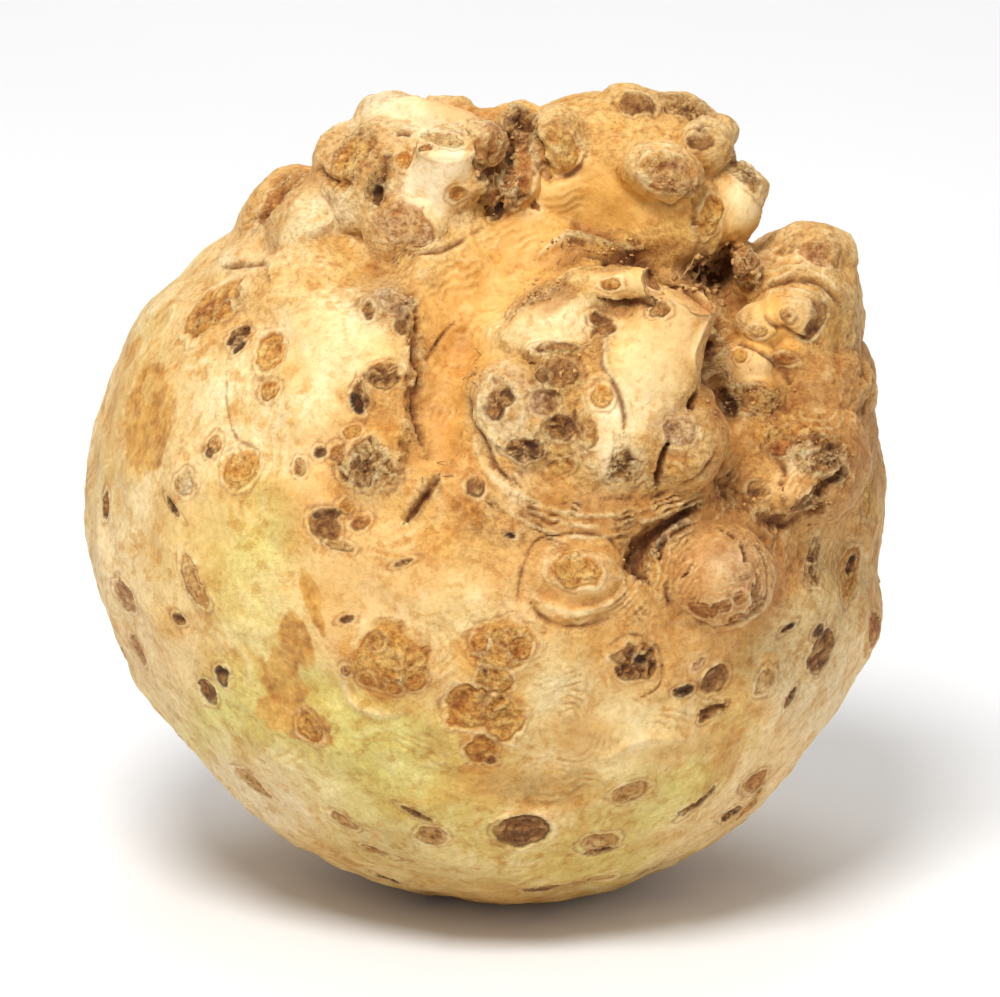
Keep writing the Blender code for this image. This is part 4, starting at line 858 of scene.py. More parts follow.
class Skin:
    """The skin's points, which way they face, what colour they have, and how rough they are.

    Points are found by the small cube they lie in, and by the small square of the picture in which the
    viewer sees them.
    """

    CUBE = 4.0
    SQUARE = 0.6
    ROW = 1024          # more cubes or squares than fit side by side
    SEARCH = 30         # how many squares round a place are looked through
    NEARBY = 1.5        # how far round a spot the skin's mean normal is taken
    OUTER = 1e-5        # how much a point's distance counts beside the way it lies

    def __init__(self, mesh):
        self.points = read_points(mesh)
        self.normals = read_normals(mesh)
        self.colours = np.zeros_like(self.points)
        self.rough = np.zeros(len(self.points))
        self.calm = np.zeros(len(self.points))
        self.standing = np.zeros(len(self.points), np.float32)
        if "standing" in mesh.attributes:
            mesh.attributes["standing"].data.foreach_get("value", self.standing)
        cubes = np.floor(self.points / self.CUBE).astype(int) + self.ROW // 2
        keys = (cubes[:, 0] * self.ROW + cubes[:, 1]) * self.ROW + cubes[:, 2]
        self.order = np.argsort(keys, kind="stable")
        self.keys = keys[self.order]
        squares = np.floor(self.points[:, :2] / self.SQUARE).astype(int) + self.ROW // 2
        seen = squares[:, 0] * self.ROW + squares[:, 1]
        by_depth = np.lexsort((self.points[:, 2], seen))
        front = by_depth[np.flatnonzero(np.diff(seen[by_depth], append=-1))]
        self.front = dict(zip(seen[front].tolist(), front.tolist(), strict=True))

    def near(self, middle, reach):
        """The indices of the points within a distance of a middle."""
        low = np.floor((middle - reach) / self.CUBE).astype(int) + self.ROW // 2
        high = np.floor((middle + reach) / self.CUBE).astype(int) + self.ROW // 2
        found = []
        for across in range(low[0], high[0] + 1):
            for up in range(low[1], high[1] + 1):
                row = (across * self.ROW + up) * self.ROW
                start, end = np.searchsorted(self.keys, (row + low[2], row + high[2] + 1))
                found.append(self.order[start:end])
        found = np.concatenate(found)
        return found[np.linalg.norm(self.points[found] - middle, axis=1) < reach]

    def facing(self, place):
        """The index of the point that the viewer sees at a place in the picture."""
        across, up = np.floor(at(place)[:2] / self.SQUARE).astype(int) + self.ROW // 2
        for ring in range(self.SEARCH):
            for step in range(-ring, ring + 1):
                for side in ((step, ring), (step, -ring), (ring, step), (-ring, step)):
                    key = int((across + side[0]) * self.ROW + up + side[1])
                    if key in self.front:
                        return self.front[key]
        raise ValueError(f"nothing is seen near {place}")

    def along(self, way):
        """The index of the point in a direction, and of the outer one where two lie in it."""
        lengths = np.linalg.norm(self.points, axis=1)
        return int(np.argmax(self.points @ way / lengths + lengths * self.OUTER))

    def normal(self, spot, reach=NEARBY):
        """The mean normal of the skin round a spot, or its own, if all that was near has moved away."""
        near = self.near(self.points[spot], reach)
        mean = self.normals[near].sum(0) if len(near) else self.normals[spot]
        return mean / np.linalg.norm(mean)

    def patch(self, spot, half_sizes, reach, turn):
        """The points round a spot that face its way, how far out they lie in half sizes, and how far
        along and across the turn."""
        normal = self.normal(spot)
        right, up = tangents(normal)
        angle = math.radians(turn)
        major = right * math.cos(angle) + up * math.sin(angle)
        minor = up * math.cos(angle) - right * math.sin(angle)
        near = self.near(self.points[spot], reach)
        near = near[self.normals[near] @ normal > 0.1]
        offset = self.points[near] - self.points[spot]
        along, across = offset @ major, offset @ minor
        return near, np.hypot(along / half_sizes[0], across / half_sizes[1]), along, across

    def band(self, places, reach):
        """The points beside a line of places: the share of the line passed, the distance to it and the
        distance to its left side."""
        spots = [self.facing(place) for place in places]
        path = smooth_path(self.points[spots])
        ahead = np.gradient(path, axis=0)
        found = [self.near(place, reach) for place in path[::3]]
        near = np.unique(np.concatenate(found + [self.near(path[-1], reach)]))
        near = near[self.normals[near] @ self.normal(spots[len(spots) // 2], 4.0) > 0.06]
        away = np.full(len(near), np.inf)
        reached = np.zeros(len(near), int)
        for number, place in enumerate(path):
            step = np.linalg.norm(self.points[near] - place, axis=1)
            closer = step < away
            away[closer] = step[closer]
            reached[closer] = number
        ahead = ahead[reached] / np.linalg.norm(ahead[reached], axis=1)[:, None]
        offset = self.points[near] - path[reached]
        passed = (offset * ahead).sum(1)
        inner = (reached > 0) & (reached < len(path) - 1)
        away[inner] = np.sqrt(np.maximum((offset**2).sum(1) - passed**2, 0))[inner]
        left = np.cross(self.normals[near], ahead)
        left /= np.linalg.norm(left, axis=1)[:, None] + TINY
        return near, reached / (len(path) - 1), away, (offset * left).sum(1)

    def push(self, near, lift):
        """Move points out along their normals."""
        self.points[near] += self.normals[near] * lift[:, None]

    def paint(self, near, colour, amount):
        """Blend a colour into the skin at some points."""
        self.colours[near] += amount[:, None] * (np.asarray(colour, float) - self.colours[near])

    def roughen(self, near, amount):
        """Make points at least this rough."""
        self.rough[near] = np.maximum(self.rough[near], amount)


def each_area(table):
    """Each area of a table: its place, half sizes and turn, and then what the table says of it."""
    for *about, areas in table:
        for across, down, length, breadth, *turn in areas:
            yield (across, down), (length, breadth), turn[0] if turn else 0, *about


def soften_far_side(points, edges):
    """Let the lobes flow into the globe where the picture doesn't show them."""
    weight = 0.5 * np.clip((FAR_FROM - points[:, 2]) / (FAR_FROM - FAR_TO), 0, 1)[:, None]
    return relaxed(points, edges, weight, FAR_SOFTENING)


def cut_end(points, tip, along, radius):
    """Flatten the cut end of a stub."""
    offset = points - tip
    ahead = offset @ along
    beside = np.linalg.norm(offset - ahead[:, None] * along, axis=1)
    past = (ahead > 0) & (ahead < 1.5 * CUT_ALLOWANCE) & (beside < 1.2 * radius)
    points[past] -= ahead[past, None] * along


def swell(skin, spot, radius, height):
    """Push a round area out, or in."""
    normal = skin.normal(spot)
    near = skin.near(skin.points[spot], radius)
    away = np.linalg.norm(skin.points[near] - skin.points[spot], axis=1) / radius
    agreement = np.clip(1.6 * (skin.normals[near] @ normal) - 0.1, 0, 1)
    lift = height * (1 - away**2) ** 2 * agreement
    skin.points[near] += lift[:, None] * normal


def hidden_directions(count, draw):
    """Directions spread evenly at random over the side that the picture doesn't show."""
    found = []
    while len(found) < count:
        way = draw.normal(size=3)
        way /= np.linalg.norm(way)
        near_leaves = way @ np.array(LEAF_END.normalized()) > CLEAR_OF_LEAVES
        crowded = any(way @ other > APART for other in found)
        if way[2] < HIDDEN_FROM and not near_leaves and not crowded:
            found.append(way)
    return found


def shape_form(mesh, draw):
    """The wide hollows, swells and bumps, and the cut ends of the stubs."""
    write_points(mesh, soften_far_side(read_points(mesh), read_edges(mesh)))
    skin = Skin(mesh)
    for start, start_depth, _, end, end_depth, radius in STUBS:
        root, tip = at(start, start_depth), at(end, end_depth)
        cut_end(skin.points, tip, (tip - root) / np.linalg.norm(tip - root), radius)
    for place, radius, height in SWELLS:
        swell(skin, skin.facing(place), radius, height)
    for way in hidden_directions(HIDDEN_SWELLS, draw):
        swell(skin, skin.along(way), draw.uniform(*SWELL_RADII), draw.uniform(*SWELL_HEIGHTS))
    for number, (wavelength, height) in enumerate(SKIN_WAVES):
        wave = lattice_noise(skin.points, wavelength, 20 + number)
        skin.push(EVERYWHERE, height * wave)
    write_points(mesh, skin.points)
    ground = relaxed(skin.points, read_edges(mesh), *WIDE_LEVELLING)
    standing = ((skin.points - ground) * read_normals(mesh)).sum(1)
    mesh.attributes.new("standing", "FLOAT", "POINT").data.foreach_set("value", standing.astype(np.float32))


def roots_share(points):
    """How near the skin is to the root end: below 0 low on the left, 1 and more at the roots."""
    return 0.35 + 1.1 * (points @ ROOTS_WAY) / MEAN_RADIUS


def paint_ground(skin):
    """The skin's ground colour: greenish and smooth at the low side, ochre towards the roots, mottled, and
    darker tan low down, partly painted shade.
    """
    points = skin.points
    share = roots_share(points) + 0.25 * grain(points, 22.0, 40)
    skin.colours[:] = CREAM
    skin.paint(EVERYWHERE, OCHRE, 0.6 * smooth_step(share, 0.5, 1.2))
    behind = smooth_step(points[:, 2], 6.0, -14.0)
    skin.paint(EVERYWHERE, TAN, 0.35 * behind * smooth_step(share, 0.1, 1.0))
    low_left = smooth_step(points @ LOW_LEFT_WAY, 5.0, 50.0)
    skin.paint(EVERYWHERE, YELLOW, 0.5 * low_left)
    green = smooth_step(grain(points, 15.0, 55), -0.1, 0.9)
    skin.paint(EVERYWHERE, GREEN, 0.55 * green * smooth_step(share, 0.8, 0.1))
    for wavelength, number, layers in GROUND_PATCHES:
        patches = grain(points, wavelength, number)
        for colour, strength, begins, full in layers:
            skin.paint(EVERYWHERE, colour, strength * smooth_step(patches, begins, full))
    # darker tan on the underside: partly soil, partly painted shade
    underside_soil_and_shade = smooth_step(points[:, 1], -34.0, -62.0)
    skin.paint(EVERYWHERE, TAN, 0.35 * underside_soil_and_shade)


def swirls(skin):
    """Fine lines that flow round the skin's bumps, here and there."""
    points = skin.points
    field = 5.0 * lattice_noise(points, 16.0, 140) + 1.6 * lattice_noise(points, 7.0, 141)
    field += 0.5 * lattice_noise(points, 2.6, 142)
    wave = np.sin(2 * math.pi * field)
    here = smooth_step(grain(points, 6.0, 143), 0.0, 0.9) * (1 - skin.calm)
    skin.push(EVERYWHERE, 0.04 * here * wave)
    skin.paint(EVERYWHERE, TAN, 0.30 * here * smooth_step(wave, -0.3, -0.95))
    skin.paint(EVERYWHERE, PALE, 0.30 * here * smooth_step(wave, 0.2, 0.95))


def paint_washes(skin):
    """Soft colour over wide areas of the side that the viewer sees."""
    facing = smooth_step(skin.normals[:, 2], -0.15, 0.25)
    wander = np.stack([3.0 * lattice_noise(skin.points, 9.0, 50 + axis) for axis in range(2)], axis=1)
    wandered = skin.points[:, :2] + wander
    for place, (length, breadth), turn, colour, strength in each_area(WASHES):
        offset = wandered - at(place)[:2]
        near = np.flatnonzero((np.abs(offset) < 2.2 * max(length, breadth)).all(1) & (facing > 0))
        angle = math.radians(turn)
        along = offset[near] @ np.array((math.cos(angle), math.sin(angle)))
        across = offset[near] @ np.array((-math.sin(angle), math.cos(angle)))
        away = np.hypot(along / length, across / breadth)
        skin.paint(near, colour, strength * facing[near] * smooth_step(away, 1.5, 0.35))


def smooth_out(skin, spot, half_sizes, turn, strength):
    """An area of smooth skin, without crumbs or wrinkles."""
    near, away, *_ = skin.patch(spot, half_sizes, 1.5 * max(half_sizes), turn)
    away += 0.15 * grain(skin.points[near], 4.0, 150)
    skin.calm[near] = np.maximum(skin.calm[near], strength * smooth_step(away, 1.25, 0.7))


def stain(skin, spot, half_sizes, turn, tone, strength):
    """A stain with an uneven edge, mottled in its tone."""
    near, away, *_ = skin.patch(spot, half_sizes, 1.6 * max(half_sizes), turn)
    points = skin.points[near]
    away += 0.14 * grain(points, max(2.0, 0.8 * max(half_sizes)), 60) + 0.05 * grain(points, 1.0, 61)
    level = 0.15 + 0.5 * grain(points, 2.6, 63) + 0.35 * grain(points, 0.9, 64)
    amount = strength * smooth_step(away, 1.06, 0.86) * (0.85 + 0.15 * grain(points, 1.6, 66))
    skin.paint(near, tone_colours(tone, level), np.clip(amount, 0, 1))


def crease(skin, width, depth, darkness, places):
    """A groove that tapers at both ends, with brown sides and a dark bottom: soil, and painted shade in the
    groove.
    """
    near, share, away, _ = skin.band(places, 3.5 * width)
    points = skin.points[near]
    taper = np.clip(7 * share * (1 - share) + 0.2, 0, 1)
    wander = 1 + 0.5 * lattice_noise(points, 3.0, 3)
    lumps = grain(points, 1.9, 70)
    broken = np.clip(0.85 + 0.35 * lumps, 0, 1)
    away = away / (width * taper * wander) + 0.12 * grain(points, 1.2, 73)
    sides = smooth_step(away, 2.8, 1.0)
    skin.push(near, 0.22 * darkness * lumps * sides - depth * taper * broken * np.exp(-1.6 * away**2))
    # brown sides and a near-black bottom: partly soil, partly painted shade where the groove is deepest
    skin.paint(near, BROWN, 0.6 * darkness * broken * smooth_step(away, 1.3, 0.4))
    skin.paint(near, DARK, 0.9 * darkness * broken * taper * smooth_step(away, 0.6, 0.15))
    skin.roughen(near, 0.7 * darkness * sides)


def fold(skin, width, height, places):
    """A raised fold of skin, paler on its crest."""
    near, share, away, _ = skin.band(places, 3.0 * width)
    points = skin.points[near]
    taper = np.clip(4 * share * (1 - share) + 0.25, 0, 1)
    wander = 1 + 0.35 * lattice_noise(points, 3.0, 3)
    away = away / (width * taper * wander)
    skin.push(near, height * taper * np.exp(-1.6 * away**2))
    skin.paint(near, PALE, 0.6 * taper * smooth_step(away, 1.0, 0.2))


def wrinkles(skin, half_width, spacing, height, places):
    """A band of fine wrinkles that run along a line."""
    near, share, away, aside = skin.band(places, 1.1 * half_width)
    points = skin.points[near]
    fade = smooth_step(away, half_width, 0.5 * half_width) * smooth_step(share * (1 - share), 0.0, 0.06)
    shift = 0.5 * grain(points, 6.0, 80) + 0.15 * grain(points, 1.6, 86)
    broken = np.clip(0.3 + 0.7 * grain(points, 3.2, 83), 0, 1)
    wave = np.sin(2 * math.pi * (aside / spacing + shift))
    skin.push(near, 0.7 * height * fade * broken * wave)
    fade = fade * broken * min(1.0, 3.0 * height)
    skin.paint(near, TAN, 0.65 * fade * smooth_step(wave, 0.1, -0.9))
    skin.paint(near, PALE, 0.45 * fade * smooth_step(wave, 0.1, 0.9))


def scar(skin, spot, half_sizes, turn, kind, tone):
    """A root scar: a mottled floor in its tone with a thin outline, and faint rings round it."""
    sink, rim, coarse, dark_middle, dark_outline, rings, uneven = KINDS[kind]
    size = math.sqrt(half_sizes[0] * half_sizes[1])
    near, away, along, across = skin.patch(spot, half_sizes, SCAR_REACH * max(half_sizes) + 1.0, turn)
    points = skin.points[near]
    away += uneven * grain(points, 1.1 * size + 0.6, 90) + 0.05 * grain(points, 0.9, 93)
    if kind == "fibre":
        lumps = fibres(points, along, across, size)
    elif kind == "pit":
        lumps = stripes(points, along, across)
    else:
        lumps = 0.6 * grain(points, 1.3, 96) + 0.6 * grain(points, 0.5 * size + 1.0, 95)
    inside = smooth_step(away, 1.08, 0.82)
    bowl = smooth_step(away, 1.0, 0.35)
    broken = np.clip(0.55 + 0.6 * grain(points, 1.3 * size, 99), 0, 1)
    border = np.exp(-(((away - 0.98) * size / OUTLINE_WIDTH) ** 2))
    second = np.exp(-(((away - 1.0 - 0.75 / size) * size / OUTLINE_WIDTH) ** 2))
    crest = np.exp(-(((away - 1.18) / 0.15) ** 2))
    lines = np.zeros(len(near))
    if rings:
        lines = smooth_step(np.cos(2 * math.pi * (rings * away + 0.2 * lumps)), 0.55, 1.0) * inside
    outside = smooth_step(away, 1.0, 1.2) * smooth_step(away, SCAR_REACH, 1.2) * (1 - skin.calm[near])
    halo = smooth_step(np.cos(2 * math.pi * (away - 1.2) * size / HALO_SPACING + 1.5 * lumps), -0.3, -1.0)

    depth = min(1.2, 0.42 * size)
    lift = rim * broken * crest - sink * bowl - 0.15 * border - 0.12 * lines
    skin.push(near, depth * lift + inside * 0.16 * (0.4 + coarse) * lumps - 0.06 * outside * broken * halo)
    skin.paint(near, PALE, 0.45 * broken * smooth_step(away, 1.0, 1.15) * smooth_step(away, 1.75, 1.25))
    skin.paint(near, tone_colours(tone, 0.3 + (0.40 + 0.5 * coarse) * lumps), 0.94 * inside)
    skin.paint(near, BROWN, 0.5 * np.clip(1.6 - 1.6 * broken, 0, 1) * second)
    # the dark middle of pits, slits and fibre scars: partly their own colour, partly painted shade in the
    # hole
    skin.paint(near, DARK, dark_middle * smooth_step(away + 0.5 * lumps, 0.75, 0.25))
    lowest = tone_colours(tone, np.full(len(near), -1.0))
    skin.paint(near, lowest, dark_outline * broken * border + 0.4 * lines)
    skin.paint(near, PALE, 0.3 * broken * crest)
    skin.paint(near, TAN, 0.5 * outside * broken * halo)
    skin.roughen(near, (0.45 + 0.5 * coarse) * inside)
    skin.calm[near] *= 1 - inside


def stripes(points, along, across):
    """Noise drawn out along a scar, like fibres that lie in it."""
    bent = across + 0.5 * lattice_noise(points, 2.0, 98)
    return grain(np.stack((0.3 * along, bent, np.zeros(len(points))), axis=1) + points[:1], 1.3, 96)


def fibres(points, along, across, size):
    """Noise drawn out from a scar's middle, like torn fibres."""
    clock = np.arctan2(across, along)
    ring = np.hypot(across, along)
    bent = clock + 0.8 * lattice_noise(points, 1.8, 97)
    swirl = np.stack((1.6 * size * np.cos(bent), 1.6 * size * np.sin(bent), 0.7 * ring), axis=1)
    return grain(swirl + points[:1], 1.3, 96)


def crumbly(skin, spot, half_sizes, turn, strength):
    """Cracked, crumbly skin."""
    near, away, *_ = skin.patch(spot, half_sizes, 1.6 * max(half_sizes), turn)
    points = skin.points[near]
    away += 0.2 * grain(points, 5.0, 100)
    fade = strength * smooth_step(away, 1.15, 0.5) * (1 - skin.calm[near])
    lumps = 1 - 1.3 * np.abs(grain(points, 2.4, 103))
    fine = grain(points, 1.2, 106)
    skin.push(near, fade * (0.3 * lumps + 0.16 * fine))
    skin.paint(near, BROWN, 0.5 * fade * smooth_step(lumps + 0.3 * fine, 0.1, -0.7))
    skin.paint(near, CREAM, 0.4 * fade * smooth_step(lumps + 0.3 * fine, 0.5, 1.1))
    skin.roughen(near, fade)


def hidden_scars(skin, draw):
    """Root scars on the side that the picture doesn't show."""
    kinds = ("rough", "rough", "ring", "ring", "pit", "rough", "ring")
    tones = ("orange", "tan", "brown", "tan", "rust", "pink", "orange")
    for number, way in enumerate(hidden_directions(HIDDEN_SCARS, draw)):
        half = draw.uniform(*SCAR_HALF_SIZES)
        half_sizes = (half, half * draw.uniform(*SCAR_BREADTHS))
        turn = draw.uniform(0, 180)
        kind, tone = kinds[number % len(kinds)], tones[number * 3 % len(tones)]
        scar(skin, skin.along(way), half_sizes, turn, kind, tone)


def leaf_end(skin):
    """The trimmed leaf end: rings of cut leaf bases round a sunken heart."""
    way = np.array(LEAF_END.normalized())
    spot = skin.along(way)
    widest = LEAF_RINGS[0][0]
    near = skin.near(skin.points[spot], 1.4 * widest)
    offset = skin.points[near] - skin.points[spot]
    away = np.linalg.norm(offset, axis=1)
    across, up = tangents(way)
    clock = np.arctan2(offset @ up, offset @ across)
    threads = grain(np.stack((14 * clock, 0.3 * away, np.zeros(len(near))), axis=1), 2.0, 110)
    lift = np.zeros(len(near))
    for number, (radius, height) in enumerate(LEAF_RINGS):
        wave = 1 + 0.07 * np.sin(3 * clock + number * 2.1) + 0.04 * np.sin(7 * clock + number)
        ridge = np.exp(-(((away * wave - radius) / LEAF_RING_WIDTH) ** 2))
        broken = 0.7 + 0.3 * np.sin((4 + number) * clock + number * 1.7)
        lift += height * broken * ridge
    lift -= HEART_DEPTH * np.clip(1 - (away / HEART_RADIUS) ** 2, 0, 1)
    area = smooth_step(away, 1.25 * widest, widest)
    skin.push(near, lift + 0.18 * threads * area)
    skin.paint(near, tone_colours("tan", 1.1 * lift - 0.4 + 0.3 * threads), 0.85 * area)
    skin.paint(near, BROWN, 0.4 * area * smooth_step(lift, 0.2, -0.3))
    skin.paint(near, DARK, 0.7 * smooth_step(away, HEART_RADIUS, 1.0))
    skin.roughen(near, 0.6 * area)


def bumps_and_painted_shade(skin, mesh):
    """Fine bumps all over, with soil and painted shade in the hollows, and paler skin and painted highlight
    on the bumps.
    """
    share = np.clip(roots_share(skin.points), 0.18, 1.0)
    skin.roughen(EVERYWHERE, 0.4 * smooth_step(share, 0.3, 1.1))
    skin.rough = np.clip(0.16 + 0.84 * skin.rough, 0, 1) * (1 - 0.85 * skin.calm)
    skin.push(EVERYWHERE, 0.30 * grain(skin.points, 9.0, 124))
    uneven = (0.12 + 0.3 * share) * (1 - 0.6 * skin.calm)
    skin.push(EVERYWHERE, uneven * lattice_noise(skin.points, 4.6, 30))
    for wavelength, height, number in FINE_BUMPS:
        skin.push(EVERYWHERE, height * skin.rough * grain(skin.points, wavelength, number))
    write_points(mesh, skin.points)
    ground = relaxed(skin.points, read_edges(mesh), *FINE_LEVELLING)
    height = ((skin.points - ground) * read_normals(mesh)).sum(1)
    amount = (0.35 + 0.65 * np.clip(share + skin.rough, 0, 1)) * (1 - 0.5 * skin.calm)
    busy = 1 - skin.calm
    # brown and dark in the wide hollows and clefts: partly soil, partly painted shade; cream on the wide
    # bumps: partly painted highlight
    skin.paint(EVERYWHERE, BROWN, 0.58 * amount * busy * smooth_step(skin.standing, -0.5, -3.0))
    skin.paint(EVERYWHERE, DARK, 0.50 * busy * smooth_step(skin.standing, -2.4, -5.0))
    skin.paint(EVERYWHERE, PALE, 0.40 * amount * smooth_step(skin.standing, 0.5, 3.0))
    # the same for the fine bumps: brown in their hollows, partly painted shade; pale on their tops, partly
    # painted highlight
    skin.paint(EVERYWHERE, BROWN, 0.70 * amount * smooth_step(height, -0.04, -0.45))
    skin.paint(EVERYWHERE, PALE, 0.38 * amount * smooth_step(height, 0.03, 0.30))


def detail(mesh, draw):
    """Creases, folds, wrinkles, scars and crumbs, each with its colours."""
    skin = Skin(mesh)
    paint_ground(skin)
    paint_washes(skin)
    for place, *area in each_area(SMOOTH):
        smooth_out(skin, skin.facing(place), *area)
    swirls(skin)
    for place, *area in each_area(STAINS):
        stain(skin, skin.facing(place), *area)
    for band in WRINKLES:
        wrinkles(skin, *band)
    for place, *area in each_area(CRUMBLY):
        crumbly(skin, skin.facing(place), *area)
    for groove in CREASES:
        crease(skin, *groove)
    for ridge in FOLDS:
        fold(skin, *ridge)
    for place, *area in each_area(SCARS):
        scar(skin, skin.facing(place), *area)
    hidden_scars(skin, draw)
    leaf_end(skin)
    bumps_and_painted_shade(skin, mesh)
    return skin


def linear(colours):
    """Display values from 0 to 255 as linear light."""
    share = np.clip(colours / 255, 0, 1)
    return np.where(share < 0.04045, share / 12.92, ((share + 0.055) / 1.055) ** 2.4)


def store_paint(mesh, skin):
    """Keep the skin's colour and roughness with its points, for the material."""
    colour = mesh.color_attributes.new("skin_colour", "FLOAT_COLOR", "POINT")
    values = np.ones((len(skin.points), 4), np.float32)
    values[:, :3] = linear(skin.colours) * PAINT_LIGHT
    colour.data.foreach_set("color", values.ravel())
    rough = mesh.attributes.new("skin_rough", "FLOAT", "POINT")
    rough.data.foreach_set("value", np.clip(skin.rough, 0, 1).astype(np.float32))


def upright(points):
    """Turn the viewer's frame upright."""
    down, level = math.sin(LOOK_DOWN), math.cos(LOOK_DOWN)
    return np.stack((
        points[:, 0],
        points[:, 1] * down - points[:, 2] * level,
        points[:, 1] * level + points[:, 2] * down,
    ), axis=1)


def bake_map(mesh):
    """Unfold the skin onto the six sides of a cube, laid out three by two."""
    points = read_points(mesh)
    middle = (points.min(0) + points.max(0)) / 2
    points -= middle
    totals = read(mesh.polygons, "loop_total", 1, np.int32).ravel()
    centres = read(mesh.polygons, "center", 3) - middle
    main_axis = np.abs(centres).argmax(1)
    axis = np.repeat(main_axis, totals)
    sign = np.repeat(centres[np.arange(len(centres)), main_axis] > 0, totals)
    flat = points[read(mesh.loops, "vertex_index", 1, np.int32).ravel()]
    main = np.abs(np.take_along_axis(flat, axis[:, None], 1)) + TINY
    sides = np.stack(((axis + 1) % 3, (axis + 2) % 3), axis=1)
    place = np.take_along_axis(flat, sides, 1) / main
    place = np.arctan(np.clip(place, -MAP_REACH, MAP_REACH)) / math.atan(MAP_REACH)
    cell = np.stack((axis, sign.astype(int)), axis=1)
    place = (cell + 0.5 + MAP_HALF * place) / np.array(MAP_CELLS)
    layer = mesh.uv_layers.new(name="OFBake")
    layer.data.foreach_set("uv", place.astype(np.float32).ravel())


def add_node(tree, kind, **values):
    """A shader node, with values for its sockets by name."""
    node = tree.nodes.new(kind)
    for name, value in values.items():
        node.inputs[name.replace("_", " ")].default_value = value
    return node


def noise_node(tree, scale, detail=3.0, roughness=0.6):
    """Noise in the object's own space, in cells per metre."""
    place = tree.nodes.get("place") or tree.nodes.new("ShaderNodeTexCoord")
    place.name = "place"
    noise = add_node(tree, "ShaderNodeTexNoise", Scale=scale, Detail=detail, Roughness=roughness)
    tree.links.new(place.outputs["Object"], noise.inputs["Vector"])
    return noise.outputs["Fac"]


def spread(tree, value, low, high, to_low, to_high):
    """A value from one range in another, and no further."""
    node = tree.nodes.new("ShaderNodeMapRange")
    for name, number in zip(("From Min", "From Max", "To Min", "To Max"), (low, high, to_low, to_high)):
        node.inputs[name].default_value = number
    tree.links.new(value, node.inputs["Value"])
    return node.outputs["Result"]


def arithmetic(tree, operation, one, other):
    """Two values, put together."""
    node = tree.nodes.new("ShaderNodeMath")
    node.operation = operation
    for socket, value in zip(node.inputs, (one, other)):
        if isinstance(value, float):
            socket.default_value = value
        else:
            tree.links.new(value, socket)
    return node.outputs["Value"]


def mixed(tree, blend, share, one, other):
    """Two colours blended; a share or colour is a socket or a plain value."""
    node = tree.nodes.new("ShaderNodeMix")
    node.data_type = "RGBA"
    node.blend_type = blend
    for socket, value in ((node.inputs[0], share), (node.inputs[6], one), (node.inputs[7], other)):
        if isinstance(value, bpy.types.NodeSocket):
            tree.links.new(value, socket)
        else:
            socket.default_value = value
    return node.outputs[2]


def plain_colour(colour, alpha=1.0):
    """A display colour as a shader socket takes it."""
    return (*linear(np.array(colour, float)), alpha)


def new_material(name):
    """A material and its shader."""
    material = bpy.data.materials.new(name)
    material.use_nodes = True
    return material, material.node_tree, material.node_tree.nodes["Principled BSDF"]


def bump(tree, shader, height, distance):
    """Let a height in metres times a distance roughen the shading."""
    node = tree.nodes.new("ShaderNodeBump")
    node.inputs["Distance"].default_value = distance
    tree.links.new(height, node.inputs["Height"])
    tree.links.new(node.outputs["Normal"], shader.inputs["Normal"])


